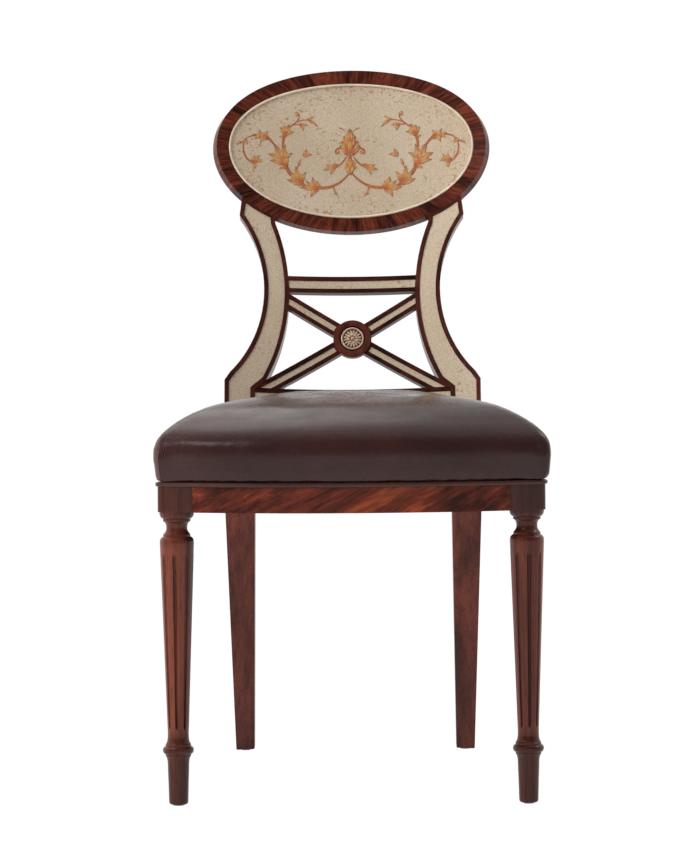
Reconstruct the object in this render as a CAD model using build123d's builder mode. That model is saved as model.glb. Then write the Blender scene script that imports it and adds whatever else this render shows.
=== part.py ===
from build123d import *
from math import asin, atan2, cos, hypot, radians, sin, sqrt
import os

# Dining side chair: oval glass back on hourglass posts, crossed bars, stuffed-over leather seat.
# Millimetres. X runs across the seat, -Y is the front, +Z is up.
# The origin is on the floor under the middle of the whole chair.

os.makedirs("parts", exist_ok=True)

# Seat frame
seat_front_half = 250.5
seat_rear_half = 181.5
front_bow = 48.0
rail_bottom = 379.0
rail_height = 62.0
rail_thickness = 24.0
rear_rail_set_in = 9.5
show_wood_height = 32.6
upholstery_rebate = 4.0
seat_corner_radius = 8.0
tenon_length = 16.0
tenon_thickness = 9.0
tenon_shoulder = 8.0

# Front legs
leg_radius = 22.0
neck_ovolo = 6.5
neck_fillet = 2.5
neck_fillet_radius = 17.5
neck_radius = 13.3
shoulder_ovolo = 9.0
shaft_top = 341.0
shaft_top_radius = 21.9
ankle_height = 98.0
ankle_radius = 13.35
ring_height = 75.8
ring_half = 4.7
ring_radius = 20.0
ring_fillet = 3.0
ring_fillet_radius = 16.2
foot_cove = 10.0
foot_top_radius = 13.9
foot_radius = 12.3
foot_round = 4.0
flute_count = 8
flute_turn = 5.0
flute_top = 325.0
flute_bottom = 103.0
flute_top_width = 6.7
flute_bottom_width = 4.8
flute_depth = 2.0

# Glides under the feet
glide_radius = 7.0
glide_proud = 1.5
glide_pin_radius = 1.5
glide_pin_length = 15.0

# Rear posts, seen from the side
knee_height = 408.0
knee_depth = 438.0
knee_round = 200.0
post_depth_knee = 38.0
post_depth_foot = 26.0
post_depth_top = 20.0
post_foot_width = 26.0
post_foot_half = 158.6
post_foot_round = 2.5
post_rake = 103.0
back_lean = 14.5
dish_radius = 480.0

# Rear posts, seen square to the leaned back, with rises up the lean from the knee
# and drops down it from the middle of the oval
post_inner_half = 139.0
waist_inner_half = 90.6
waist_outer_half = 126.0
waist_rise = 266.0
inner_corner_rise = 114.5
inner_flare_half = 123.5
inner_flare_rise = 128.0
outer_corner_rise = 125.0
outer_flare_half = 174.0
outer_flare_rise = 137.0
inner_top_half = 110.0
inner_top_drop = 111.4
outer_top_half = 161.0
outer_top_drop = 102.4
post_top_draw_in = 5.0

# Rails and crossed bars of the back
back_rail_width = 24.0
back_bar_thickness = 16.0
upper_rail_rise = 271.0
lower_rail_rise = 104.4
cross_centre_rise = 191.0
cross_angle = 31.0
cross_bar_width = 20.0
stub_tenon_length = 10.0
stub_tenon_width = 14.0
stub_tenon_thickness = 7.0
stub_tenon_depth = 6.5
lap_depth = 10.0

# Boss and rosette at the crossing
boss_radius = 26.7
boss_proud = 3.0
boss_seat_depth = 4.0
boss_edge_round = 1.5
rosette_radius = 16.8
rosette_play = 0.6
rosette_pocket = 2.8
rosette_plate = 1.2
rosette_rim_width = 2.6
rosette_rim_height = 2.6
rosette_rim_round = 0.9
petal_count = 12
petal_length = 7.6
petal_thickness = 1.3
petal_inner_radius = 2.6
bead_radius = 2.4

# Oval panel
oval_half_width = 204.5
oval_half_height = 122.0
oval_rise = 472.4
oval_thickness = 19.0
oval_rim_width = 20.0
oval_lip = 9.0
oval_rebate = 8.0
oval_panel_thickness = 6.0
gilt_width = 3.5
gilt_proud = 0.8
gilt_depth = 2.6
glass_bed_thickness = 3.2
dowel_radius = 4.0
dowel_in_post = 22.0
dowel_in_oval = 10.0
dowel_half = 134.0

# Glass let into the wood
glass_thickness = 2.6
glass_sink = 1.2
glass_play = 0.2
post_border = 6.0
oval_border = 4.5
rail_border = 6.2
cross_border = 6.0
boss_border = 2.0
post_glass_rise = 80.0

# Upholstery
leather_thickness = 1.6
leather_stand = 2.5
seat_swell = 7.0
seat_shoulder = 459.0
crown_height = 524.5
crown_run = 124.0
crown_power = 1.6
cushion_corner = 10.0
cushion_corner_growth = 0.1
welt_width = 6.2
welt_proud = 2.0
welt_round = 2.8
strap_width = 50.0
strap_thickness = 1.5
strap_pitch = 72.0
strap_count = 4
strap_inset = 8.0
cover_thickness = 1.0
cover_inset = 9.0
soft_clearance = 0.4

# Corner blocks and screws
front_block_leg = 62.0
rear_block_leg = 92.0
block_flat = 8.0
block_height = 42.0
screw_radius = 2.2
screw_head_radius = 4.2
screw_head_height = 3.0
screw_length = 28.0
screw_seat = 12.0
screw_from_end = 28.0
screw_lift = 9.0
screw_access_play = 0.5

# Sizes that follow from the driving ones
lean = radians(back_lean)
rail_top = rail_bottom + rail_height
show_wood_top = rail_bottom + show_wood_height
inner_top_rise = oval_rise - inner_top_drop
outer_top_rise = oval_rise - outer_top_drop
rear_face_radius = dish_radius + post_depth_knee - rear_rail_set_in
crest_rise = oval_rise + oval_half_height
back_reach = knee_depth + crest_rise * sin(lean) + oval_thickness * cos(lean)
front_reach = front_bow + seat_swell
corner_y = (front_reach - back_reach) / 2
axis_y = corner_y + knee_depth - dish_radius
bow_radius = (seat_front_half**2 + front_bow**2) / (2 * front_bow)
bow_centre_y = corner_y - front_bow + bow_radius
post_centre_half = (seat_rear_half + post_inner_half) / 2
post_front_y = axis_y + sqrt(dish_radius**2 - post_centre_half**2)
side_slope = atan2(seat_front_half - seat_rear_half, post_front_y - corner_y)
tenon_height = rail_height - 2 * tenon_shoulder
tenon_low = rail_bottom + tenon_shoulder
rail_middle = rail_bottom + rail_height / 2
glass_bed_depth = glass_sink + glass_thickness + glass_play
reach = 90.0

lean_plane = Plane(
    origin=(0, corner_y + knee_depth, knee_height),
    x_dir=(1, 0, 0),
    z_dir=(0, -cos(lean), sin(lean)),
)
# Half of the upright section through the dish, with radius across and height up
section_plane = Plane(origin=(0, axis_y, 0), x_dir=(0, -1, 0), z_dir=(-1, 0, 0))
dish_axis = Axis((0, axis_y, 0), (0, 0, 1))
on_base = (Align.CENTER, Align.CENTER, Align.MIN)


def save(piece, name):
    """Label one finished piece and write its STEP file."""
    piece.label = name
    export_step(piece, f"parts/{name}.step")


def save_pair(right, name):
    """Write a right-hand piece and its mirror image on the left."""
    save(right, f"{name}_right")
    with BuildPart() as left:
        mirror(right, about=Plane.YZ)
    save(left.part, f"{name}_left")


def lean_point(rise, depth):
    """Radius and height of a point up the lean line, at a depth behind the front face."""
    radius = dish_radius + rise * sin(lean) + depth * cos(lean)
    height = knee_height + rise * cos(lean) - depth * sin(lean)
    return (radius, height)


def back_shell(front_depth, back_depth):
    """Dished and leaned layer of the back between two depths behind its front face."""
    low_rise = lower_rail_rise - reach
    high_rise = crest_rise + reach
    with BuildPart() as shell:
        with BuildSketch(section_plane):
            with BuildLine():
                Polyline(
                    lean_point(low_rise, front_depth),
                    lean_point(high_rise, front_depth),
                    lean_point(high_rise, back_depth),
                    lean_point(low_rise, back_depth),
                    close=True,
                )
            make_face()
        revolve(axis=dish_axis)
    return shell.part


def lean_prism(face, layer):
    """Outline drawn on the leaned plane, carried square through one layer of the back."""
    with BuildPart() as prism:
        with BuildSketch(lean_plane):
            add(face)
        extrude(amount=reach, both=True)
        add(layer, mode=Mode.INTERSECT)
    return prism.part


def oval_prism(grow):
    """Ellipse of the oval, grown by a margin, that widens to the back along the dish's radii."""
    dish_at_oval = (dish_radius + oval_rise * sin(lean)) / cos(lean)
    with BuildPart() as prism:
        for ahead in (-reach, reach):
            spread = 1 - ahead / dish_at_oval
            with BuildSketch(lean_plane.offset(ahead)):
                with Locations((0, oval_rise)):
                    Ellipse((oval_half_width + grow) * spread, oval_half_height + grow)
        loft(ruled=True)
    return prism.part


def oval_layer(grow, front_depth, back_depth):
    """Elliptical plate of the oval between two depths behind the front face."""
    with BuildPart() as plate:
        add(oval_prism(grow))
        add(back_shell(front_depth, back_depth), mode=Mode.INTERSECT)
    return plate.part


def plan_corner(inset, centre_y, radius, sign):
    """Where the side line, moved in by an inset, crosses a circle at its front (-1) or rear (+1)."""
    normal_x = cos(side_slope)
    normal_y = sin(side_slope)
    distance = seat_front_half * normal_x + (corner_y - centre_y) * normal_y - inset
    along = sqrt(radius**2 - distance**2)
    x = distance * normal_x - sign * along * normal_y
    y = distance * normal_y + sign * along * normal_x
    return (x, centre_y + y)


def front_corner(inset):
    """Right front corner of the plan at an inset."""
    return plan_corner(inset, bow_centre_y, bow_radius - inset, -1)


def rear_corner(inset):
    """Right rear corner of the plan at an inset."""
    return plan_corner(inset, axis_y, rear_face_radius - inset, 1)


def seat_outline(inset, corner_radius, height):
    """Plan of the seat: bowed front, straight converging sides and a dished rear edge."""
    core = inset + corner_radius
    front = front_corner(core)
    rear = rear_corner(core)
    front_left = (-front[0], front[1])
    rear_left = (-rear[0], rear[1])
    with BuildSketch(Plane.XY.offset(height)) as outline:
        with BuildLine():
            ThreePointArc(front_left, (0, corner_y - front_bow + core), front)
            Line(front, rear)
            ThreePointArc(rear, (0, axis_y + rear_face_radius - core), rear_left)
            Line(rear_left, front_left)
        make_face()
        offset(amount=corner_radius, kind=Kind.ARC, mode=Mode.REPLACE)
    return outline.sketch


def seat_prism(inset, low, high):
    """Plan of the seat at an inset, raised between two heights."""
    with BuildPart() as prism:
        add(seat_outline(inset, seat_corner_radius, low))
        extrude(amount=high - low)
    return prism.part


def stile_outline(side):
    """Hourglass outline of one post above the seat, on the leaned plane."""
    hidden_top_rise = oval_rise - oval_half_height / 2
    hidden_foot_rise = post_glass_rise - 2 * post_border
    with BuildSketch() as outline:
        with BuildLine():
            Polyline(
                (side * inner_flare_half, inner_flare_rise),
                (side * post_inner_half, inner_corner_rise),
                (side * post_inner_half, hidden_foot_rise),
                (side * seat_rear_half, hidden_foot_rise),
                (side * seat_rear_half, outer_corner_rise),
                (side * outer_flare_half, outer_flare_rise),
            )
            ThreePointArc(
                (side * outer_flare_half, outer_flare_rise),
                (side * waist_outer_half, waist_rise),
                (side * outer_top_half, outer_top_rise),
            )
            Polyline(
                (side * outer_top_half, outer_top_rise),
                (side * (outer_top_half - post_top_draw_in), hidden_top_rise),
                (side * (inner_top_half + post_top_draw_in), hidden_top_rise),
                (side * inner_top_half, inner_top_rise),
            )
            ThreePointArc(
                (side * inner_top_half, inner_top_rise),
                (side * waist_inner_half, waist_rise),
                (side * inner_flare_half, inner_flare_rise),
            )
        make_face()
    return outline.sketch


def post_window(margin):
    """Window of the right post: its outline less a border, clear of the oval and the seat."""
    dish_at_waist = dish_radius - sqrt(dish_radius**2 - waist_outer_half**2)
    oval_growth = oval_border + margin
    with BuildSketch() as window:
        add(stile_outline(1))
        offset(amount=-post_border - margin, kind=Kind.INTERSECTION, mode=Mode.REPLACE)
        with Locations((0, oval_rise)):
            Ellipse(
                oval_half_width * (1 - dish_at_waist / dish_radius) + oval_growth,
                oval_half_height + oval_growth,
                mode=Mode.SUBTRACT,
            )
        with Locations((post_centre_half, post_glass_rise + margin)):
            Rectangle(
                seat_front_half,
                post_glass_rise,
                align=(Align.CENTER, Align.MAX),
                mode=Mode.SUBTRACT,
            )
    return window.sketch


def rail_face(rise, width, margin):
    """Face of a back rail between the two posts, less a margin all round."""
    with BuildSketch() as face:
        with Locations((0, rise)):
            Rectangle(2 * post_centre_half, width)
        add(stile_outline(1), mode=Mode.SUBTRACT)
        add(stile_outline(-1), mode=Mode.SUBTRACT)
        add(face.faces().sort_by_distance((0, rise))[0], mode=Mode.REPLACE)
        if margin:
            offset(amount=-margin, kind=Kind.INTERSECTION, mode=Mode.REPLACE)
    return face.sketch


def cross_face(sign, width, margin):
    """Face of one crossed bar, rising (+1) or falling (-1), trimmed by the posts and rails."""
    window_low = lower_rail_rise + back_rail_width / 2
    window_high = upper_rail_rise - back_rail_width / 2
    with BuildSketch() as face:
        with Locations(Location((0, cross_centre_rise), sign * cross_angle)):
            Rectangle(2 * seat_front_half, width)
        with Locations((0, (window_low + window_high) / 2)):
            Rectangle(2 * post_centre_half, window_high - window_low, mode=Mode.INTERSECT)
        add(stile_outline(1), mode=Mode.SUBTRACT)
        add(stile_outline(-1), mode=Mode.SUBTRACT)
        add(face.faces().sort_by_distance((0, cross_centre_rise))[0], mode=Mode.REPLACE)
        if margin:
            offset(amount=-margin, kind=Kind.INTERSECTION, mode=Mode.REPLACE)
    return face.sketch


def cross_glass_face(sign, margin):
    """Two strips of glass along one crossed bar, clear of the boss."""
    with BuildSketch() as strips:
        add(cross_face(sign, cross_bar_width - 2 * cross_border, margin))
        with Locations((0, cross_centre_rise)):
            Circle(boss_radius + boss_border + margin, mode=Mode.SUBTRACT)
    return strips.sketch


# Layers of the back that several pieces share
glass_layer = back_shell(glass_sink, glass_sink + glass_thickness)
recess_layer = back_shell(-rail_thickness, glass_bed_depth)
bar_layer = back_shell(0, back_bar_thickness)
stub_layer = back_shell(stub_tenon_depth, stub_tenon_depth + stub_tenon_thickness)

# Rear post blank: a bent side profile, turned about the axis of the dish
foot_front = dish_radius + post_rake
foot_back = foot_front + post_depth_foot
crest_front = lean_point(crest_rise, 0)
crest_back = lean_point(crest_rise, post_depth_top)
with BuildSketch() as post_profile:
    with BuildLine():
        FilletPolyline(
            (foot_front, glide_proud),
            (dish_radius, knee_height),
            crest_front,
            radius=knee_round,
        )
        Line(crest_front, crest_back)
        FilletPolyline(
            crest_back,
            (dish_radius + post_depth_knee, knee_height),
            (foot_back, glide_proud),
            radius=knee_round,
        )
        Line((foot_back, glide_proud), (foot_front, glide_proud))
    make_face()

with BuildPart() as post_form:
    with BuildSketch(lean_plane):
        add(stile_outline(1))
    extrude(amount=reach, both=True)
    with BuildSketch(Plane.XZ.offset(-corner_y - knee_depth)):
        with BuildLine():
            Polyline(
                (post_foot_half - post_foot_width / 2, 0),
                (post_inner_half, rail_bottom),
                (post_inner_half, knee_height + reach),
                (seat_rear_half, knee_height + reach),
                (seat_rear_half, rail_bottom),
                (post_foot_half + post_foot_width / 2, 0),
                close=True,
            )
        make_face()
    extrude(amount=2 * reach, both=True)
    with BuildPart(mode=Mode.PRIVATE) as post_blank:
        with BuildSketch(section_plane):
            add(post_profile.sketch)
        revolve(axis=dish_axis)
    add(post_blank.part, mode=Mode.INTERSECT)
    add(oval_prism(0), mode=Mode.SUBTRACT)
    fillet(post_form.faces().sort_by(Axis.Z)[0].edges(), post_foot_round)

# Room around the posts, kept clear by the upholstery
with BuildPart() as post_room:
    with BuildSketch(section_plane):
        add(post_profile.sketch)
        offset(amount=soft_clearance, kind=Kind.INTERSECTION, mode=Mode.REPLACE)
    revolve(axis=dish_axis)
    with Locations((post_inner_half - soft_clearance, axis_y, 0)):
        Box(
            seat_front_half,
            2 * dish_radius,
            crown_height + reach,
            align=(Align.MIN, Align.MIN, Align.MIN),
            mode=Mode.INTERSECT,
        )
    mirror(about=Plane.YZ)

# Strips that shape the tenons and cut their mortises alike
with BuildSketch() as upper_stub:
    with Locations((0, upper_rail_rise)):
        Rectangle(2 * (waist_inner_half + stub_tenon_length), stub_tenon_width)
with BuildSketch() as lower_stub:
    with Locations((0, lower_rail_rise)):
        Rectangle(2 * (post_inner_half + stub_tenon_length), stub_tenon_width)
upper_tenon = lean_prism(upper_stub.sketch, stub_layer)
lower_tenon = lean_prism(lower_stub.sketch, stub_layer)

with BuildPart() as rear_tenon:
    rear_middle = rear_face_radius - rail_thickness / 2
    with BuildSketch(Plane.XY.offset(tenon_low)):
        with Locations((0, axis_y)):
            Circle(rear_middle + tenon_thickness / 2)
            Circle(rear_middle - tenon_thickness / 2, mode=Mode.SUBTRACT)
            Rectangle(
                2 * (post_inner_half + tenon_length),
                2 * dish_radius,
                align=(Align.CENTER, Align.MIN),
                mode=Mode.INTERSECT,
            )
    extrude(amount=tenon_height)

leg_x, leg_y = front_corner(leg_radius)
leg_plane = Plane(
    origin=(leg_x, leg_y, 0),
    x_dir=(cos(side_slope), sin(side_slope), 0),
    z_dir=(0, 0, 1),
)
leg_axis = Axis((leg_x, leg_y, 0), (0, 0, 1))
with BuildPart() as front_tenon:
    with BuildSketch(leg_plane.offset(tenon_low)):
        with Locations((-leg_radius, rail_thickness / 2 - leg_radius)):
            Rectangle(2 * tenon_length, tenon_thickness)
    extrude(amount=tenon_height)
    mirror(about=Plane.YZ)

side_tenon_start = leg_radius - tenon_length
side_tenon_end = hypot(seat_rear_half - leg_x, post_front_y - leg_y) + tenon_length
with BuildPart() as side_tenon:
    with BuildSketch(leg_plane.offset(tenon_low)):
        with Locations((leg_radius - rail_thickness / 2, side_tenon_start)):
            Rectangle(
                tenon_thickness,
                side_tenon_end - side_tenon_start,
                align=(Align.CENTER, Align.MIN),
            )
    extrude(amount=tenon_height)

# Dowels between the posts and the oval, straight up the lean
dowel_foot = oval_rise - oval_half_height * sqrt(1 - (dowel_half / oval_half_width) ** 2)
dowel_dish = dish_radius + dowel_foot * sin(lean)
dowel_depth = (glass_bed_depth + post_depth_top) / 2
dowel_ahead = (dowel_dish - sqrt(dowel_dish**2 - dowel_half**2)) * cos(lean) - dowel_depth
with BuildPart() as dowel_right:
    dowel_start = (dowel_half, dowel_foot - dowel_in_post, dowel_ahead)
    with Locations(lean_plane * Location(dowel_start, (-90, 0, 0))):
        Cylinder(dowel_radius, dowel_in_post + dowel_in_oval, align=on_base)
with BuildPart() as oval_dowels:
    add(dowel_right.part)
    mirror(about=Plane.YZ)
save(oval_dowels.part, "oval_dowels")

# Glides with a pin up into each foot
foot_middle = foot_front + post_depth_foot / 2
foot_middle_y = axis_y + sqrt(foot_middle**2 - post_foot_half**2)
with BuildPart() as glides_right:
    with Locations((leg_x, leg_y, 0), (post_foot_half, foot_middle_y, 0)):
        Cylinder(glide_radius, glide_proud, align=on_base)
        Cylinder(glide_pin_radius, glide_proud + glide_pin_length, align=on_base)
with BuildPart() as foot_glides:
    add(glides_right.part)
    mirror(about=Plane.YZ)
save(foot_glides.part, "foot_glides")

# Screws of the corner blocks, two to a block, each pointing out into its own rail
front_slope = asin(front_corner(rail_thickness)[0] / bow_radius)
rear_slope = asin(rear_corner(rail_thickness)[0] / rear_face_radius)
along_side = Vector(-sin(side_slope), cos(side_slope))
block_frames = {
    "front": (
        Vector(*front_corner(rail_thickness)),
        Vector(-cos(front_slope), -sin(front_slope)),
        along_side,
        front_block_leg,
    ),
    "rear": (
        Vector(*rear_corner(rail_thickness)),
        Vector(-cos(rear_slope), sin(rear_slope)),
        along_side * -1,
        rear_block_leg,
    ),
}


def screw_seats(place):
    """Planes at the two screw heads of a corner block, facing into the rails."""
    corner, across, along, block_leg = block_frames[place]
    seats = []
    for run, other, lift in ((across, along, -screw_lift), (along, across, screw_lift)):
        outward = (run * other.dot(run) - other).normalized()
        spot = corner + run * (block_leg - screw_from_end) - outward * screw_seat
        seats.append(Plane(origin=(spot.X, spot.Y, rail_middle + lift), z_dir=outward))
    return seats


with BuildPart() as screws_right:
    for seat in screw_seats("front") + screw_seats("rear"):
        with Locations(seat):
            Cylinder(screw_radius, screw_length, align=on_base)
            Cone(screw_head_radius, screw_radius, screw_head_height, align=on_base)
with BuildPart() as corner_block_screws:
    add(screws_right.part)
    mirror(about=Plane.YZ)
save(corner_block_screws.part, "corner_block_screws")

# Rear posts
with BuildPart() as rear_post:
    add(post_form.part)
    add(lean_prism(post_window(0), recess_layer), mode=Mode.SUBTRACT)
    add([upper_tenon, lower_tenon], mode=Mode.SUBTRACT)
    add([rear_tenon.part, side_tenon.part], mode=Mode.SUBTRACT)
    add([dowel_right.part, glides_right.part], mode=Mode.SUBTRACT)
save_pair(rear_post.part, "rear_post")
save_pair(lean_prism(post_window(glass_play), glass_layer), "post_glass")


# Front legs: turned and fluted below, square above, the square trimmed to the plan of the seat
def shaft_radius(height):
    """Radius of the tapered shaft at a height."""
    share = (height - ankle_height) / (shaft_top - ankle_height)
    return ankle_radius + share * (shaft_top_radius - ankle_radius)


def groove_radius(width):
    """Radius of a round groove of a width and the common flute depth."""
    return (width**2 / 4 + flute_depth**2) / (2 * flute_depth)


def groove_point(width, height):
    """Middle of the groove's circle in front of the shaft at a height."""
    return Vector(0, flute_depth - shaft_radius(height) - groove_radius(width), height)


groove_high = groove_point(flute_top_width, flute_top)
groove_low = groove_point(flute_bottom_width, flute_bottom)
with BuildPart() as flute:
    with Locations(Plane(origin=groove_low, z_dir=groove_high - groove_low)):
        Cone(
            groove_radius(flute_bottom_width),
            groove_radius(flute_top_width),
            (groove_high - groove_low).length,
            align=on_base,
        )
    with Locations(groove_low):
        Sphere(groove_radius(flute_bottom_width))
    with Locations(groove_high):
        Sphere(groove_radius(flute_top_width))

neck_top = rail_bottom - neck_ovolo
neck_low = shaft_top + shoulder_ovolo
ring_low = ring_height - ring_half
ring_high = ring_height + ring_half
foot_top = ring_low - foot_cove
ankle_low = ring_high + ring_fillet
with BuildSketch() as leg_turning:
    with BuildLine():
        Polyline((0, rail_bottom), (0, glide_proud), (foot_radius - foot_round, glide_proud))
        RadiusArc(
            (foot_radius - foot_round, glide_proud),
            (foot_radius, glide_proud + foot_round),
            -foot_round,
        )
        Line((foot_radius, glide_proud + foot_round), (foot_top_radius, foot_top))
        TangentArc(
            (foot_top_radius, foot_top),
            (ring_fillet_radius, ring_low),
            tangent=(foot_top_radius - foot_radius, foot_top - glide_proud - foot_round),
        )
        ThreePointArc(
            (ring_fillet_radius, ring_low),
            (ring_radius, ring_height),
            (ring_fillet_radius, ring_high),
        )
        Line((ring_fillet_radius, ring_high), (ring_fillet_radius, ankle_low))
        TangentArc(
            (ankle_radius, ankle_height),
            (ring_fillet_radius, ankle_low),
            tangent=(ankle_radius - shaft_top_radius, ankle_height - shaft_top),
        )
        Line((ankle_radius, ankle_height), (shaft_top_radius, shaft_top))
        TangentArc(
            (shaft_top_radius, shaft_top),
            (neck_fillet_radius, neck_low),
            tangent=(shaft_top_radius - ankle_radius, shaft_top - ankle_height),
        )
        Line((neck_fillet_radius, neck_low), (neck_fillet_radius, neck_low + neck_fillet))
        ThreePointArc(
            (neck_fillet_radius, neck_low + neck_fillet),
            (neck_radius, (neck_low + neck_top) / 2),
            (neck_fillet_radius, neck_top - neck_fillet),
        )
        Line((neck_fillet_radius, neck_top - neck_fillet), (neck_fillet_radius, neck_top))
        TangentArc((leg_radius, rail_bottom), (neck_fillet_radius, neck_top), tangent=(0, -1))
        Line((leg_radius, rail_bottom), (0, rail_bottom))
    make_face()

# Solid plan of the seat frame: full below, rebated above for the leather
with BuildPart() as frame_plan:
    add(seat_prism(0, rail_bottom, show_wood_top))
    add(seat_prism(upholstery_rebate, show_wood_top, rail_top))

with BuildPart() as leg_square:
    with BuildSketch(leg_plane.offset(rail_bottom)):
        with Locations((0, leg_radius)):
            Rectangle(2 * leg_radius, reach, align=(Align.CENTER, Align.MAX))
    extrude(amount=rail_height)
    add(frame_plan.part, mode=Mode.INTERSECT)

with BuildPart() as front_leg:
    with BuildSketch(Plane(origin=(leg_x, leg_y, 0), x_dir=(1, 0, 0), z_dir=(0, -1, 0))):
        add(leg_turning.sketch)
    revolve(axis=leg_axis)
    with Locations(Location((leg_x, leg_y, 0), (0, 0, flute_turn))):
        with PolarLocations(0, flute_count):
            add(flute.part, mode=Mode.SUBTRACT)
    add(leg_square.part)
    add([front_tenon.part, side_tenon.part, glides_right.part], mode=Mode.SUBTRACT)
save_pair(front_leg.part, "front_leg")

# Seat rails: one ring on the plan of the seat, parted by the legs and posts
with BuildPart() as seat_ring:
    add(frame_plan.part)
    add(seat_prism(rail_thickness, rail_bottom, rail_top), mode=Mode.SUBTRACT)

with BuildPart() as front_seat_rail:
    add(seat_ring.part)
    with Locations((0, leg_y, rail_bottom)):
        Box(
            2 * leg_x,
            front_bow + 2 * leg_radius,
            rail_height,
            align=(Align.CENTER, Align.MAX, Align.MIN),
            mode=Mode.INTERSECT,
        )
    add(leg_square.part, mode=Mode.SUBTRACT)
    add(leg_square.part.mirror(Plane.YZ), mode=Mode.SUBTRACT)
    add(front_tenon.part)
    add(corner_block_screws.part, mode=Mode.SUBTRACT)
save(front_seat_rail.part, "front_seat_rail")

with BuildPart() as rear_seat_rail:
    add(seat_ring.part)
    with Locations((0, axis_y, rail_bottom)):
        Box(
            2 * post_inner_half,
            2 * dish_radius,
            rail_height,
            align=(Align.CENTER, Align.MIN, Align.MIN),
            mode=Mode.INTERSECT,
        )
    with Locations((0, axis_y, rail_bottom)):
        Box(
            2 * post_inner_half,
            2 * (post_front_y - axis_y - rail_thickness),
            rail_height,
            align=on_base,
            mode=Mode.SUBTRACT,
        )
    add(rear_tenon.part)
    add(corner_block_screws.part, mode=Mode.SUBTRACT)
save(rear_seat_rail.part, "rear_seat_rail")

with BuildPart() as side_seat_rail:
    add(seat_ring.part)
    with Locations((0, leg_y, rail_bottom)):
        Box(
            seat_front_half,
            post_front_y + rail_thickness / 2 - leg_y,
            rail_height,
            align=(Align.MIN, Align.MIN, Align.MIN),
            mode=Mode.INTERSECT,
        )
    add(leg_square.part, mode=Mode.SUBTRACT)
    add(post_form.part, mode=Mode.SUBTRACT)
    add(side_tenon.part)
    add(corner_block_screws.part, mode=Mode.SUBTRACT)
save_pair(side_seat_rail.part, "side_seat_rail")

# Corner blocks
frame_inside = seat_prism(rail_thickness, rail_bottom, rail_top)
for place, (corner, across, along, block_leg) in block_frames.items():
    outside = (across + along) * -rail_thickness
    with BuildPart() as corner_block:
        with BuildSketch(Plane.XY.offset(rail_middle - block_height / 2)):
            with BuildLine():
                Polyline(
                    corner + outside,
                    corner + across * block_leg - along * rail_thickness,
                    corner + across * block_leg + along * block_flat,
                    corner + along * block_leg + across * block_flat,
                    corner + along * block_leg - across * rail_thickness,
                    close=True,
                )
            make_face()
        extrude(amount=block_height)
        add(frame_inside, mode=Mode.INTERSECT)
        add([leg_square.part, post_form.part], mode=Mode.SUBTRACT)
        for seat in screw_seats(place):
            with Locations(seat.offset(-block_leg)):
                Cylinder(
                    screw_head_radius + screw_access_play,
                    block_leg,
                    align=on_base,
                    mode=Mode.SUBTRACT,
                )
        add(screws_right.part, mode=Mode.SUBTRACT)
    save_pair(corner_block.part, f"corner_block_{place}")

# Rails of the back
rail_glass_width = back_rail_width - 2 * rail_border
for name, rise, tenon in (("upper", upper_rail_rise, upper_tenon), ("lower", lower_rail_rise, lower_tenon)):
    with BuildPart() as back_rail:
        add(lean_prism(rail_face(rise, back_rail_width, 0), bar_layer))
        add(tenon)
        add(lean_prism(rail_face(rise, rail_glass_width, 0), recess_layer), mode=Mode.SUBTRACT)
    save(back_rail.part, f"back_{name}_rail")
    save(lean_prism(rail_face(rise, rail_glass_width, glass_play), glass_layer), f"{name}_rail_glass")

# Crossed bars, halved together under the boss
boss_plane = Plane(
    origin=lean_plane.from_local_coords((0, cross_centre_rise, 0)),
    x_dir=(1, 0, 0),
    z_dir=lean_plane.z_dir,
)
with BuildPart() as boss_pocket:
    with BuildSketch(boss_plane):
        Circle(boss_radius)
    extrude(amount=reach, both=True)
    add(back_shell(-reach, boss_seat_depth), mode=Mode.INTERSECT)
lap_layers = {1: back_shell(lap_depth, rail_thickness), -1: back_shell(-rail_thickness, lap_depth)}
for name, sign in (("rising", 1), ("falling", -1)):
    with BuildPart() as cross_bar:
        add(lean_prism(cross_face(sign, cross_bar_width, 0), bar_layer))
        add(boss_pocket.part, mode=Mode.SUBTRACT)
        add(lean_prism(cross_face(-sign, cross_bar_width, 0), lap_layers[sign]), mode=Mode.SUBTRACT)
        add(lean_prism(cross_glass_face(sign, 0), recess_layer), mode=Mode.SUBTRACT)
    save(cross_bar.part, f"cross_bar_{name}")
    strips = lean_prism(cross_glass_face(sign, glass_play), glass_layer).solids().sort_by(Axis.X)
    for strip, place in zip(strips, ("left", "right")):
        level = "upper" if (place == "right") == (sign > 0) else "lower"
        save(Part(strip.wrapped), f"cross_glass_{level}_{place}")

# Boss: a turned disc planted on the crossing, with a pocket for the rosette
pocket_floor = boss_proud - rosette_pocket
pocket_radius = rosette_radius + rosette_play
with BuildPart() as centre_boss:
    with BuildSketch(Plane(boss_plane.origin, x_dir=(1, 0, 0), z_dir=lean_plane.y_dir * -1)):
        with BuildLine():
            Polyline(
                (0, -reach / 2),
                (boss_radius, -reach / 2),
                (boss_radius, boss_proud - boss_edge_round),
            )
            RadiusArc(
                (boss_radius, boss_proud - boss_edge_round),
                (boss_radius - boss_edge_round, boss_proud),
                -boss_edge_round,
            )
            Polyline(
                (boss_radius - boss_edge_round, boss_proud),
                (pocket_radius, boss_proud),
                (pocket_radius, pocket_floor),
                (0, pocket_floor),
                (0, -reach / 2),
            )
        make_face()
    revolve(axis=Axis(boss_plane.origin, boss_plane.z_dir))
    add(back_shell(boss_seat_depth, 2 * reach), mode=Mode.SUBTRACT)
save(centre_boss.part, "centre_boss")

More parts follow.
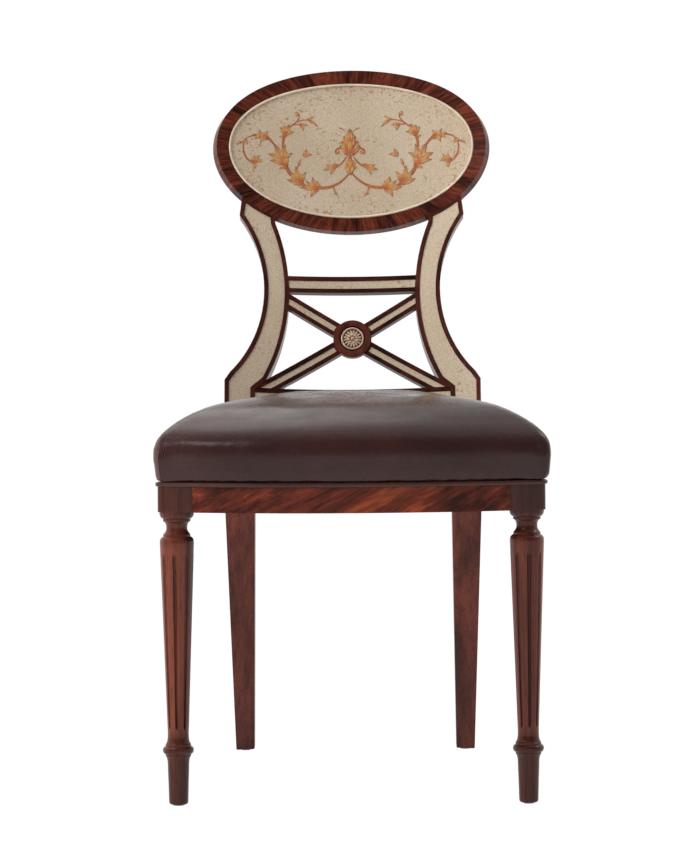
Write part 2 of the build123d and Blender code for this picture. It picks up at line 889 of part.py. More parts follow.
# Rosette: a rimmed plate with a ring of petals and a bead
with BuildPart() as petal:
    with BuildSketch(Plane.XZ):
        with BuildLine():
            ThreePointArc(
                (petal_inner_radius, 0),
                (petal_inner_radius + petal_length / 2, petal_thickness),
                (petal_inner_radius + petal_length, 0),
            )
            Line((petal_inner_radius + petal_length, 0), (petal_inner_radius, 0))
        make_face()
    revolve(axis=Axis.X)
with BuildPart() as rosette:
    with BuildSketch(boss_plane.offset(pocket_floor)):
        Circle(rosette_radius)
    extrude(amount=rosette_plate)
    with BuildSketch(boss_plane.offset(pocket_floor)):
        Circle(rosette_radius)
        Circle(rosette_radius - rosette_rim_width, mode=Mode.SUBTRACT)
    extrude(amount=rosette_rim_height)
    rim_top = rosette.faces().sort_by(Axis(boss_plane.origin, boss_plane.z_dir))[-1]
    fillet(rim_top.edges(), rosette_rim_round)
    with Locations(boss_plane.offset(pocket_floor + rosette_plate)):
        with PolarLocations(0, petal_count):
            add(petal.part)
        Sphere(bead_radius)
    split(bisect_by=boss_plane.offset(pocket_floor), keep=Keep.TOP)
save(rosette.part, "rosette")

# Oval: a rimmed frame with the glass behind a gilt slip, a bed behind it and a back panel
window_grow = -oval_rim_width
with BuildPart() as oval_frame:
    add(oval_layer(0, 0, oval_thickness))
    add(oval_prism(window_grow), mode=Mode.SUBTRACT)
    add(oval_layer(window_grow + oval_rebate, oval_lip, oval_thickness + reach), mode=Mode.SUBTRACT)
    add(oval_dowels.part, mode=Mode.SUBTRACT)
save(oval_frame.part, "oval_frame")

with BuildPart() as oval_gilt_slip:
    add(oval_layer(window_grow - glass_play, -gilt_proud, gilt_depth))
    add(oval_prism(window_grow - gilt_width), mode=Mode.SUBTRACT)
save(oval_gilt_slip.part, "oval_gilt_slip")

glass_front = gilt_depth + glass_play
bed_front = glass_front + glass_thickness + glass_play
save(oval_layer(window_grow - glass_play, glass_front, glass_front + glass_thickness), "oval_glass")
save(oval_layer(window_grow - glass_play, bed_front, bed_front + glass_bed_thickness), "oval_glass_bed")
save(
    oval_layer(window_grow + oval_rebate - glass_play, oval_lip, oval_lip + oval_panel_thickness),
    "oval_back_panel",
)


# Upholstery
def cushion_form(shrink, skirt_low):
    """Crowned seat: its sides swell above the welt, then round over to a domed top."""
    side_steps = ((skirt_low, 0.0), ((skirt_low + seat_shoulder) / 2, 0.8), (seat_shoulder, 1.0))
    crown_steps = (0.25, 0.45, 0.62, 0.76, 0.87, 0.95, 1.0)
    rise = crown_height - shrink - seat_shoulder
    sections = [
        (height, shrink - leather_stand - (seat_swell - leather_stand) * share)
        for height, share in side_steps
    ]
    sections += [
        (
            seat_shoulder + rise * step,
            shrink - seat_swell + crown_run * (1 - sqrt(1 - step**crown_power)),
        )
        for step in crown_steps
    ]
    with BuildPart() as form:
        for height, inset in sections:
            corner_radius = cushion_corner + cushion_corner_growth * (inset + seat_swell)
            add(seat_outline(inset, corner_radius, height))
        loft(ruled=True)
    return form.part


leather_low = show_wood_top + welt_width + soft_clearance
foam_low = rail_top + 2 * strap_thickness + soft_clearance
with BuildPart() as leather_cover:
    add(cushion_form(0, leather_low))
    add(cushion_form(leather_thickness, leather_low - soft_clearance), mode=Mode.SUBTRACT)
    add(post_room.part, mode=Mode.SUBTRACT)
save(leather_cover.part, "leather_cover")

with BuildPart() as seat_foam:
    add(cushion_form(leather_thickness + soft_clearance, leather_low))
    split(bisect_by=Plane.XY.offset(foam_low), keep=Keep.TOP)
    add(post_room.part, mode=Mode.SUBTRACT)
save(seat_foam.part, "seat_foam")

with BuildPart() as seat_welt:
    add(seat_prism(-welt_proud, show_wood_top, show_wood_top + welt_width))
    fillet(seat_welt.faces().filter_by(Axis.Z).edges(), welt_round)
    add(seat_prism(upholstery_rebate, show_wood_top, show_wood_top + welt_width), mode=Mode.SUBTRACT)
    add(post_room.part, mode=Mode.SUBTRACT)
save(seat_welt.part, "seat_welt")

# Webbing: straps tacked over the rails, front to back and then side to side
with BuildPart() as seat_webbing:
    seat_middle_y = (corner_y + post_front_y) / 2
    with Locations((0, seat_middle_y, rail_top)):
        with GridLocations(strap_pitch, 1, strap_count, 1):
            Box(strap_width, 2 * dish_radius, strap_thickness, align=on_base)
    with Locations((0, seat_middle_y, rail_top + strap_thickness)):
        with GridLocations(1, strap_pitch, 1, strap_count):
            Box(2 * dish_radius, strap_width, strap_thickness, align=on_base)
    add(seat_prism(strap_inset, rail_top, rail_top + 2 * strap_thickness), mode=Mode.INTERSECT)
save(seat_webbing.part, "seat_webbing")

with BuildPart() as dust_cover:
    add(seat_prism(cover_inset, rail_bottom - cover_thickness, rail_bottom))
    with Locations((leg_x, leg_y, 0), (-leg_x, leg_y, 0)):
        Cylinder(leg_radius + soft_clearance, rail_top, align=on_base, mode=Mode.SUBTRACT)
    add(post_room.part, mode=Mode.SUBTRACT)
save(dust_cover.part, "dust_cover")
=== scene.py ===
# %% [markdown]
# # A dining side chair with an oval glass back
# The chair's frame comes from the CAD model, which is loaded here as a fixed frame. Every piece that
# this script adds is in metres, in the same frame: X runs across the seat, -Y is the front and +Z is up.

import bmesh
import bpy
import numpy as np
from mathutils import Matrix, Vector


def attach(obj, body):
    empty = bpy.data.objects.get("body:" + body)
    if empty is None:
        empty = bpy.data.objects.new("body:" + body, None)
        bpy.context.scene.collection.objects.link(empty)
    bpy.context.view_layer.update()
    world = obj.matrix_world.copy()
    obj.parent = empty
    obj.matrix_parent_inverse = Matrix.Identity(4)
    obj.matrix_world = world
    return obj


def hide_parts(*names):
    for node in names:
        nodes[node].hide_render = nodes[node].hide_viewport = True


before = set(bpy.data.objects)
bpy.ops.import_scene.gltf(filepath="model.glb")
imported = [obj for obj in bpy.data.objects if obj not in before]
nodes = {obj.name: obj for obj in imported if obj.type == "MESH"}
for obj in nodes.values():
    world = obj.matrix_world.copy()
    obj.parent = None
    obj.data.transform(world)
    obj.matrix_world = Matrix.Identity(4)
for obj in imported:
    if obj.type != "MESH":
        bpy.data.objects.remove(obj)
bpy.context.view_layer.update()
scene = bpy.context.scene

# %% [markdown]
# ## Camera
# The photograph was taken from the front, a little over four metres away, with a level camera at about
# the height of the crossed bars. A level camera keeps the legs upright in the picture, so the view is
# lowered with a lens shift and not by tilting the camera.

# %% Camera
IMAGE_HEIGHT = 852
SENSOR_WIDTH = 36.0
FAR_CLIP = 50.0
FOCAL_PIXELS = 3344.0
HORIZON_PIXEL = 290.0
CAMERA_SPOT = (0.027, -4.5751, 0.663)
CAMERA_YAW = 0.0070
CAMERA_ROLL = 0.0074


def make_camera():
    """Level camera looking along +Y; the shift puts its horizon at the wanted pixel row. The picture is
    taller than wide, so pixels are counted against its height."""
    data = bpy.data.cameras.new("front_camera")
    data.sensor_width = SENSOR_WIDTH
    data.lens = FOCAL_PIXELS / IMAGE_HEIGHT * SENSOR_WIDTH
    data.shift_y = (HORIZON_PIXEL - IMAGE_HEIGHT / 2) / IMAGE_HEIGHT
    data.clip_end = FAR_CLIP
    camera = bpy.data.objects.new("front_camera", data)
    scene.collection.objects.link(camera)
    camera.location = CAMERA_SPOT
    camera.rotation_euler = (np.pi / 2, CAMERA_ROLL, CAMERA_YAW)
    scene.camera = camera
    return camera


camera = make_camera()
print("lens", round(camera.data.lens, 1), "shift", round(camera.data.shift_y, 4))

# %% [markdown]
# ## A short way to write materials
# A material is a tree of nodes. Writing each node by hand takes many lines, so this small class adds a
# node and wires its inputs in one call: a plain value is set on the socket, and an output is linked. A
# finish is such a tree with a Principled surface, read in the object's own coordinates.


# %% Material helper
class NodeTree:
    """A tree of nodes, and a short way to add to it."""

    def __init__(self, tree):
        self.tree = tree

    def add(self, kind, inputs=None, **settings):
        """New node; settings are its own fields, and inputs maps a socket's name to a value or an output."""
        made = self.tree.nodes.new(kind)
        for field, value in settings.items():
            setattr(made, field, value)
        self.wire(made, inputs or {})
        return made

    def wire(self, target, inputs):
        """Sets a socket where the value is plain, and links it where the value is another node's output."""
        for socket, value in inputs.items():
            if isinstance(value, bpy.types.NodeSocket):
                self.tree.links.new(value, target.inputs[socket])
            else:
                target.inputs[socket].default_value = value

    def math(self, operation, first, second=0.0):
        """One arithmetic step on two numbers."""
        made = self.add("ShaderNodeMath", operation=operation)
        self.wire(made, {0: first, 1: second})
        return made.outputs[0]

    def noise(self, vector, scale=1.0, detail=4.0, roughness=0.55, distortion=0.0):
        """Grey cloud pattern."""
        inputs = {"Vector": vector, "Scale": scale, "Detail": detail, "Roughness": roughness,
                  "Distortion": distortion}
        return self.add("ShaderNodeTexNoise", inputs).outputs["Fac"]

    def stretch(self, vector, scale, turn=(0.0, 0.0, 0.0), spot=(0.0, 0.0, 0.0)):
        """Coordinates seen from a turned and moved frame, then scaled axis by axis."""
        turned = self.add("ShaderNodeMapping", {"Vector": vector, "Location": spot, "Rotation": turn},
                          vector_type="TEXTURE")
        scaled = self.add("ShaderNodeMapping", {"Vector": turned.outputs[0], "Scale": scale})
        return scaled.outputs[0]

    def ramp(self, factor, *stops):
        """Colour that runs through the given (position, colour) stops."""
        made = self.add("ShaderNodeValToRGB", {"Fac": factor})
        band = made.color_ramp.elements
        while len(band) < len(stops):
            band.new(0.5)
        for element, (position, colour) in zip(band, stops):
            element.position = position
            element.color = (*colour, 1.0)
        return made.outputs["Color"]

    def level(self, factor, low, high, start=0.0, end=1.0):
        """Number mapped from one range to another, kept inside it."""
        inputs = {"Value": factor, "From Min": low, "From Max": high, "To Min": start, "To Max": end}
        return self.add("ShaderNodeMapRange", inputs).outputs[0]

    def attribute(self, name):
        """Number that the mesh keeps for each point under a name; zero where it keeps none."""
        return self.add("ShaderNodeAttribute", attribute_name=name).outputs["Fac"]

    def mix(self, factor, first, second, blend="MIX"):
        """Two colours mixed, of which the second may be a plain one. A Mix node takes its colours at
        sockets 6 and 7, and gives the mixed colour at output 2."""
        if isinstance(second, tuple):
            second = (*second, 1.0)
        made = self.add("ShaderNodeMix", data_type="RGBA", blend_type=blend)
        self.wire(made, {0: factor, 6: first, 7: second})
        return made.outputs[2]


class Finish(NodeTree):
    """A material with a Principled surface, and the object's coordinates as its place."""

    def __init__(self, name):
        self.material = bpy.data.materials.new(name)
        self.material.use_nodes = True
        super().__init__(self.material.node_tree)
        self.surface = self.tree.nodes["Principled BSDF"]
        self.place = self.add("ShaderNodeTexCoord").outputs["Object"]

    def bump(self, height, strength, distance):
        """Small relief of the surface."""
        inputs = {"Height": height, "Strength": strength, "Distance": distance}
        self.wire(self.surface, {"Normal": self.add("ShaderNodeBump", inputs).outputs[0]})

    def dress(self, *names):
        """Puts the material on CAD nodes."""
        for name in names:
            nodes[name].data.materials.clear()
            nodes[name].data.materials.append(self.material)
        print(self.material.name, "on", ", ".join(names))
        return self


def srgb(red, green, blue):
    """Linear colour of an 8-bit screen colour."""
    share = np.array([red, green, blue]) / 255.0
    return tuple(np.where(share <= 0.04045, share / 12.92, ((share + 0.055) / 1.055) ** 2.4))


# %% [markdown]
# ## Polished mahogany
# Mahogany is a reddish brown wood with long streaks, short dark pores and a broad ripple of light and
# dark. All three are noise that is stretched along the grain, so what changes from one piece to the next is
# the way the grain runs, and on some of them the tone. The polish is a thin clear coat over the wood. The
# colour can follow the height: the front legs are darker at the foot, and darker still at their top and on
# the blocks, which is painted shade under the seat; the posts are darker towards the floor, paler just
# under the seat and darker above it. Where a mesh marks flutes or a pocket, the wood is painted darker
# there, towards almost black, as painted shade.

# %% Mahogany
LEAN = np.radians(14.5)
UPRIGHT = (0.0, 0.0, 0.0)
ACROSS = (0.0, np.pi / 2, 0.0)
DEEP = (np.pi / 2, 0.0, 0.0)
FLAME = (0.0, np.radians(62.0), 0.0)
BAR_SLANT = np.radians(59.0)
LONG_RIPPLE = (30.0, 30.0, 2.0)


def mahogany(name, grain, dark=(34, 13, 10), middle=(66, 29, 21), light=(94, 43, 30),
             ripple_size=(14.0, 14.0, 3.0), tone_and_shade_by_height=((0.0, 1.0),), polish=0.16):
    """Streaks, pores and ripple, all stretched along the grain. The colour by height pairs a height with a
    factor on the colour, which on the front legs is painted shade under the seat; where a mesh keeps painted
    shade as an attribute, the wood is painted towards almost black, as painted shade in flutes and pockets."""
    wood = Finish(name)
    ripple = wood.noise(wood.stretch(wood.place, ripple_size, grain), detail=3.0, roughness=0.5,
                        distortion=0.6)
    streak = wood.noise(wood.stretch(wood.place, (120.0, 120.0, 5.0), grain), detail=5.0, roughness=0.6,
                        distortion=0.3)
    pore = wood.noise(wood.stretch(wood.place, (900.0, 900.0, 45.0), grain), detail=2.0, roughness=0.5)
    tone = wood.math("ADD", wood.math("MULTIPLY", ripple, 0.55), wood.math("MULTIPLY", streak, 0.45))
    body = wood.ramp(tone, (0.39, srgb(*dark)), (0.5, srgb(*middle)), (0.61, srgb(*light)))
    pores = wood.level(pore, 0.3, 0.44, start=0.4)
    shade = wood.ramp(pores, (0.0, (0.0, 0.0, 0.0)), (1.0, (1.0, 1.0, 1.0)))
    height = wood.add("ShaderNodeSeparateXYZ", {"Vector": wood.place}).outputs["Z"]
    strength = wood.ramp(height, *((level, (share,) * 3) for level, share in tone_and_shade_by_height))
    toned_and_shaded = wood.mix(1.0, wood.mix(1.0, body, shade, "MULTIPLY"), strength, "MULTIPLY")
    # Painted shade: where a mesh keeps it, flutes and the boss's pocket are painted towards almost black.
    painted_shade = wood.level(wood.attribute("painted_shade"), 0.05, 0.5, end=0.7)
    toned_and_shaded = wood.mix(painted_shade, toned_and_shaded, srgb(22, 9, 7))
    wood.wire(wood.surface, {"Base Color": toned_and_shaded, "Roughness": 0.4, "Specular IOR Level": 0.06,
                             "Coat Weight": polish, "Coat Roughness": 0.08, "IOR": 1.5})
    wood.bump(pore, strength=0.06, distance=0.0004)
    return wood


# The legs' colour by height is painted shade under the seat: darker at the top of each leg and on the blocks.
# The foot is darker too.
leg_wood = mahogany("mahogany_leg", UPRIGHT, (78, 34, 24), (100, 46, 33), (124, 61, 43), LONG_RIPPLE,
                    tone_and_shade_by_height=((0.0, 0.42), (0.085, 0.5), (0.1, 1.0), (0.33, 1.0), (0.35, 0.6), (0.377, 0.5),
                           (0.381, 0.34)), polish=0.4)
mahogany("mahogany_post", UPRIGHT, (78, 35, 27), (103, 49, 38), (128, 63, 48), LONG_RIPPLE,
         tone_and_shade_by_height=((0.0, 0.68), (0.15, 0.8), (0.34, 1.25), (0.38, 1.1), (0.44, 0.52)), polish=0.3).dress(
    "rear_post_left", "rear_post_right")
mahogany("mahogany_across", ACROSS).dress("rear_seat_rail", "back_upper_rail", "back_lower_rail")
boss_wood = mahogany("mahogany_boss", UPRIGHT, (44, 18, 16), (80, 37, 30), (106, 52, 41))
mahogany("mahogany_flame", FLAME, (52, 19, 13), (106, 45, 29), (160, 77, 44), (17.0, 17.0, 6.0)).dress(
    "front_seat_rail")
mahogany("mahogany_side", DEEP).dress("side_seat_rail_left", "side_seat_rail_right")
mahogany("mahogany_rising", (LEAN, BAR_SLANT, 0.0)).dress("cross_bar_rising")
mahogany("mahogany_falling", (LEAN, -BAR_SLANT, 0.0)).dress("cross_bar_falling")
print("mahogany", sorted(m.name for m in bpy.data.materials if m.name.startswith("mahogany")))

# %% [markdown]
# ## Where the back stands
# The back is dished and leans: seen from above it is part of a circle about an upright axis in front of
# it, and the circle grows with the height. One function takes a point drawn on the flat, leaned plane of
# the back, as across, up and deep, and lays it on that dish. The gilt slip and the scrollwork use it.

# %% Laying a drawing on the dished back
AXIS_Y = -0.31711
DISH_RADIUS = 0.480
KNEE_Y, KNEE_Z = AXIS_Y + DISH_RADIUS, 0.408
OVAL_RISE = 0.4724
OVAL_HALF_WIDTH, OVAL_HALF_HEIGHT = 0.2045, 0.122
OVAL_SPOT = (0.0, KNEE_Y + OVAL_RISE * np.sin(LEAN), KNEE_Z + OVAL_RISE * np.cos(LEAN))
BACK_TURN = (np.pi / 2 - LEAN, 0.0, 0.0)
OVAL_DISH = (DISH_RADIUS + OVAL_RISE * np.sin(LEAN)) / np.cos(LEAN)
GLASS_DEPTH = 0.0028


def lay_on_back(across, up, deep):
    """Points of the dish: a plan circle whose radius grows up the lean, reached by a few steps towards it."""
    x = across
    rise = OVAL_RISE + up
    for _ in range(6):
        radius = DISH_RADIUS + rise * np.sin(LEAN) + deep * np.cos(LEAN)
        sag = radius - np.sqrt(radius**2 - x**2)
        x = across * (1 - (sag * np.cos(LEAN) - deep) / OVAL_DISH)
        rise = OVAL_RISE + up + sag * np.sin(LEAN)
    y = AXIS_Y + np.sqrt(radius**2 - x**2)
    z = KNEE_Z + rise * np.cos(LEAN) - deep * np.sin(LEAN)
    return np.stack(np.broadcast_arrays(x, y, z), axis=-1)


print("middle of the glass", np.round(lay_on_back(np.array(0.0), np.array(0.0), np.array(GLASS_DEPTH)), 4))

# %% [markdown]
# ## A grid of points becomes a mesh
# Each new piece is a table of points, worked out for all rows and columns at once. This cell joins
# neighbouring points to quads. A ring or a tube closes on itself, so its last column meets its first. The
# small helpers beside it read a mesh back as arrays, and keep a number for each point for the materials.

# %% Mesh from a grid
SIDES = {"left": -1.0, "right": 1.0}


def lay_grid(name, points, around=False, along=False, caps=False):
    """Quads between neighbours of a (rows, columns, 3) table; around closes columns, along closes rows."""
    rows, columns = points.shape[:2]
    index = np.arange(rows * columns).reshape(rows, columns)
    ends = [index[0, ::-1].tolist(), index[-1].tolist()] if caps else []
    if around:
        index = np.concatenate([index, index[:, :1]], axis=1)
    if along:
        index = np.concatenate([index, index[:1]], axis=0)
    quads = np.stack([index[:-1, :-1], index[:-1, 1:], index[1:, 1:], index[1:, :-1]], axis=-1)
    mesh = bpy.data.meshes.new(name)
    mesh.from_pydata(points.reshape(-1, 3).tolist(), [], quads.reshape(-1, 4).tolist() + ends)
    shape = bmesh.new()
    shape.from_mesh(mesh)
    bmesh.ops.recalc_face_normals(shape, faces=shape.faces)
    shape.to_mesh(mesh)
    shape.free()
    mesh.shade_smooth()
    return mesh


def keep_values(mesh, name, values):
    """Stores one number for each point of a mesh, which a material can read by its name."""
    mesh.attributes.new(name, "FLOAT", "POINT").data.foreach_set("value", np.ravel(values))


def mesh_vectors(mesh, field):
    """One vector for each point of a mesh, as an array: its place (co) or its normal."""
    flat = np.empty(len(mesh.vertices) * 3)
    mesh.vertices.foreach_get(field, flat)
    return flat.reshape(-1, 3)


def finished_mesh(piece):
    """Mesh of an object after its modifiers."""
    bpy.context.view_layer.update()
    return bpy.data.meshes.new_from_object(piece.evaluated_get(bpy.context.evaluated_depsgraph_get()))


def add_piece(mesh, finish, slot, *replaced):
    """Object at the origin that wears a finish, rides on the chair and stands for CAD nodes."""
    piece = bpy.data.objects.new(mesh.name, mesh)
    scene.collection.objects.link(piece)
    mesh.materials.append(finish.material)
    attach(piece, "root")
    if replaced:
        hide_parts(*replaced)
    print(piece.name, len(mesh.vertices), "points,", len(mesh.polygons), "faces")
    return piece


def smooth_line(points, count):
    """Curve through points: between two of them it is the cubic whose slopes follow their neighbours."""
    points = np.asarray(points, dtype=float)
    padded = np.concatenate([2 * points[:1] - points[1:2], points, 2 * points[-1:] - points[-2:-1]])
    place = np.linspace(0, len(points) - 1, count)
    start = np.minimum(place.astype(int), len(points) - 2)
    t = (place - start)[:, None]
    before, here, there, after = (padded[start + step] for step in range(4))
    return 0.5 * (2 * here + (there - before) * t + (2 * before - 5 * here + 4 * there - after) * t**2
                  + (3 * here - before - 3 * there + after) * t**3)


def smooth_step(share):
    """Cubic that runs from zero to one and is level at both ends."""
    return share * share * (3 - 2 * share)


# %% [markdown]
# ## Cross-banded rosewood
# The oval's rim is veneered with the grain running outwards from the middle, so the streaks follow the
# angle around the oval. The angle comes from the two coordinates in the plane of the back, each divided
# by the distance from the middle, which gives a ring on which a noise has no seam.


# %% Rosewood
def rosewood(name):
    """Streaks that depend on the angle around the oval, with a slow drift from band to band."""
    wood = Finish(name)
    flat = wood.stretch(wood.place, (1 / OVAL_HALF_WIDTH, 1 / OVAL_HALF_HEIGHT, 1.0), BACK_TURN, OVAL_SPOT)
    across, up = wood.add("ShaderNodeSeparateXYZ", {"Vector": flat}).outputs[:2]
    reach = wood.math("SQRT", wood.math("ADD", wood.math("MULTIPLY", across, across),
                                        wood.math("MULTIPLY", up, up)))
    ring = wood.add("ShaderNodeCombineXYZ", {"X": wood.math("DIVIDE", across, reach),
                                             "Y": wood.math("DIVIDE", up, reach),
                                             "Z": wood.math("MULTIPLY", reach, 0.12)}).outputs[0]
    broad = wood.noise(ring, 7.0, detail=2.0, roughness=0.5, distortion=0.2)
    streak = wood.noise(ring, 34.0, detail=5.0, roughness=0.65, distortion=0.15)
    fine = wood.noise(ring, 130.0, detail=3.0, roughness=0.6)
    tone = wood.math("ADD", wood.math("MULTIPLY", broad, 0.45), wood.math("MULTIPLY", streak, 0.55))
    body = wood.ramp(tone, (0.36, srgb(34, 14, 11)), (0.46, srgb(70, 32, 24)), (0.54, srgb(106, 49, 34)),
                     (0.63, srgb(132, 63, 43)))
    shade = wood.ramp(fine, (0.3, (0.4, 0.4, 0.4)), (0.55, (1.0, 1.0, 1.0)))
    wood.wire(wood.surface, {"Base Color": wood.mix(1.0, body, shade, "MULTIPLY"), "Roughness": 0.4,
                             "Specular IOR Level": 0.06, "Coat Weight": 0.09, "Coat Roughness": 0.1,
                             "IOR": 1.5})
    return wood


rosewood("rosewood").dress("oval_frame")

# %% [markdown]
# ## Leaf behind glass
# The pale panels are glass with aged silver leaf behind it: a warm beige with a fine sparkle, and
# scattered brown spots where the leaf has tarnished. Spots are the peaks of a fine noise, kept only where
# a second, broader noise is high, so that they gather in drifts, and there are more of them near the rim.


# %% Leaf and glass
def aged_leaf(name, pale=(230, 211, 187), warm=(216, 194, 166), rimward=0.22, low=0.55):
    """Beige leaf with a grainy sparkle and drifts of brown spots, under a coat. Rimward adds spots towards
    the rim, and low is the level of the broad noise at which they start."""
    leaf = Finish(name)
    cloud = leaf.noise(leaf.place, 9.0, detail=3.0, roughness=0.5)
    grain = leaf.noise(leaf.place, 640.0, detail=3.0, roughness=0.65)
    broad = leaf.noise(leaf.place, 22.0, detail=3.0, roughness=0.6, distortion=0.4)
    fine = leaf.noise(leaf.place, 230.0, detail=2.0, roughness=0.5)
    base = leaf.ramp(cloud, (0.3, srgb(*warm)), (0.7, srgb(*pale)))
    sparkle = leaf.ramp(grain, (0.32, (0.66, 0.63, 0.58)), (0.62, (1.0, 1.0, 1.0)))
    flat = leaf.stretch(leaf.place, (1 / OVAL_HALF_WIDTH, 1 / OVAL_HALF_HEIGHT, 0.0), BACK_TURN, OVAL_SPOT)
    reach = leaf.add("ShaderNodeVectorMath", {0: flat}, operation="LENGTH").outputs["Value"]
    rim = leaf.math("MULTIPLY", leaf.level(reach, 0.45, 0.9), rimward)
    drift = leaf.level(leaf.math("ADD", broad, rim), low, low + 0.14)
    blot = leaf.level(fine, 0.565, 0.63)
    spot = leaf.math("MULTIPLY", leaf.math("MULTIPLY", drift, blot), 0.75)
    toned = leaf.mix(1.0, base, sparkle, "MULTIPLY")
    colour = leaf.mix(spot, toned, srgb(172, 124, 66))
    leaf.wire(leaf.surface, {"Base Color": colour, "Metallic": 0.15, "Roughness": 0.5, "Coat Weight": 0.3,
                             "Coat Roughness": 0.2, "IOR": 1.5})
    leaf.bump(grain, strength=0.08, distance=0.0002)
    return leaf


aged_leaf("leaf_oval").dress("oval_glass")
aged_leaf("leaf_strips", (233, 213, 187), (227, 206, 178), 0.0, 0.5).dress(
    "post_glass_left", "post_glass_right", "upper_rail_glass", "lower_rail_glass", "cross_glass_upper_left",
    "cross_glass_upper_right", "cross_glass_lower_left", "cross_glass_lower_right")

# %% [markdown]
# ## Small finishes
# Gilding, brass, the parts inside the seat, and what lies under it. None of them is large, but each one
# still has a grain, a weave or a polish of its own.


# %% Gilding and brass
def bright_metal(name, colour, roughness, patch, metallic=0.7):
    """Metal whose roughness and tone drift slowly over the surface; where the mesh keeps painted shade it is
    painted dark brown, as painted shade in the hollows.
    """
    metal = Finish(name)
    cloud = metal.noise(metal.place, patch, detail=3.0, roughness=0.5)
    tone = metal.ramp(cloud, (0.3, tuple(0.82 * c for c in colour)), (0.7, colour))
    # Painted shade: the hollows that a mesh keeps are painted dark brown.
    tone = metal.mix(metal.level(metal.attribute("painted_shade"), 0.3, 1.0), tone, srgb(112, 68, 48))
    shine = metal.level(cloud, 0.3, 0.7, start=roughness + 0.08, end=roughness)
    metal.wire(metal.surface, {"Base Color": tone, "Metallic": metallic, "Roughness": shine})
    return metal


gilding = bright_metal("gilding", srgb(250, 232, 210), 0.3, 60.0, 0.4)
brass = bright_metal("brass", srgb(250, 220, 192), 0.26, 240.0)
bright_metal("zinc", srgb(190, 190, 192), 0.35, 120.0).dress("corner_block_screws")


# %% Inner parts
def plain_wood(name, dark, light, grain):
    """Bare pale wood with soft streaks."""
    wood = Finish(name)
    streak = wood.noise(wood.stretch(wood.place, (160.0, 160.0, 6.0), grain), distortion=0.2)
    wood.wire(wood.surface, {"Base Color": wood.ramp(streak, (0.3, srgb(*dark)), (0.7, srgb(*light))),
                             "Roughness": 0.6})
    wood.bump(streak, strength=0.1, distance=0.0004)
    return wood


def woven(name, dark, light, pitch):
    """Two crossed waves, as warp and weft."""
    cloth = Finish(name)
    waves = {"Vector": cloth.place, "Scale": pitch}
    warp = cloth.add("ShaderNodeTexWave", waves, bands_direction="X").outputs["Fac"]
    weft = cloth.add("ShaderNodeTexWave", waves, bands_direction="Y").outputs["Fac"]
    weave = cloth.math("MULTIPLY", warp, weft)
    cloth.wire(cloth.surface, {"Base Color": cloth.ramp(weave, (0.1, srgb(*dark)), (0.8, srgb(*light))),
                               "Roughness": 0.9})
    cloth.bump(weave, strength=0.3, distance=0.0005)
    return cloth


plain_wood("beech", (176, 132, 92), (206, 166, 122), ACROSS).dress(
    "corner_block_front_left", "corner_block_front_right", "corner_block_rear_left",
    "corner_block_rear_right", "oval_dowels", "oval_glass_bed")
mahogany("back_veneer", UPRIGHT).dress("oval_back_panel")
woven("jute", (120, 92, 58), (176, 146, 102), 400.0).dress("seat_webbing")
lining = woven("black_lining", (10, 10, 11), (34, 33, 34), 700.0)
nylon = Finish("nylon").dress("foot_glides")
scuff = nylon.noise(nylon.place, 300.0, detail=3.0)
nylon.wire(nylon.surface, {"Base Color": nylon.ramp(scuff, (0.3, srgb(24, 20, 18)), (0.7, srgb(44, 38, 34))),
                           "Roughness": 0.55})

# %% [markdown]
# ## Leather
# The seat is covered with dark brown hide. Its grain is a fine pattern of cells, which a Voronoi node gives
# and a bump turns into relief; where the hide is worn, the edges of larger cells make cracks. The shine
# drifts from place to place, because a seat isn't polished evenly by use.


# %% Leather
def leather(name, dark, light):
    """Dark brown hide with a fine pebble grain, cracks in worn patches, a slow drift of tone and a soft
    shine. Where the mesh keeps painted light it is paler, as painted light on the left front edge that
    faces the key lamp, and where it keeps painted shade it is almost black, as painted shade along the
    edges of the corner folds."""
    hide = Finish(name)
    cloud = hide.noise(hide.place, 7.0, detail=3.0, roughness=0.5)
    pebble = hide.add("ShaderNodeTexVoronoi", {"Vector": hide.place, "Scale": 620.0})
    craze = hide.add("ShaderNodeTexVoronoi", {"Vector": hide.place, "Scale": 330.0},
                     feature="DISTANCE_TO_EDGE")
    worn = hide.level(hide.noise(hide.place, 16.0, detail=3.0, roughness=0.6), 0.5, 0.62)
    split = hide.level(craze.outputs["Distance"], 0.0, 0.12, start=-1.0, end=0.0)
    crack = hide.math("MULTIPLY", worn, split)
    colour = hide.ramp(cloud, (0.3, srgb(*dark)), (0.7, srgb(*light)))
    # Painted light: the left front edge is painted paler. Painted shade: the folds' edges are painted almost
    # black.
    painted_light = hide.math("MULTIPLY", hide.attribute("painted_light"), 0.45)
    painted_shade = hide.math("MULTIPLY", hide.attribute("painted_shade"), 0.8)
    colour = hide.mix(painted_light, colour, srgb(118, 90, 84))
    colour = hide.mix(painted_shade, colour, srgb(14, 7, 6))
    patches = hide.noise(hide.place, 34.0, detail=4.0, roughness=0.6)
    shine = hide.level(patches, 0.35, 0.65, start=0.19, end=0.31)
    hide.wire(hide.surface, {"Base Color": colour, "Roughness": shine, "Specular IOR Level": 0.32})
    hide.bump(hide.math("ADD", pebble.outputs["Distance"], crack), strength=0.16, distance=0.0004)
    return hide


hide = leather("leather", (46, 25, 22), (60, 34, 31))
# The welt's leather is a paler copy of the seat's: painted light on the round cord.
lit_cord_hide = leather("cord_leather_lit", (60, 34, 30), (78, 46, 41))
print("leather", hide.material.name, "and", lit_cord_hide.material.name)
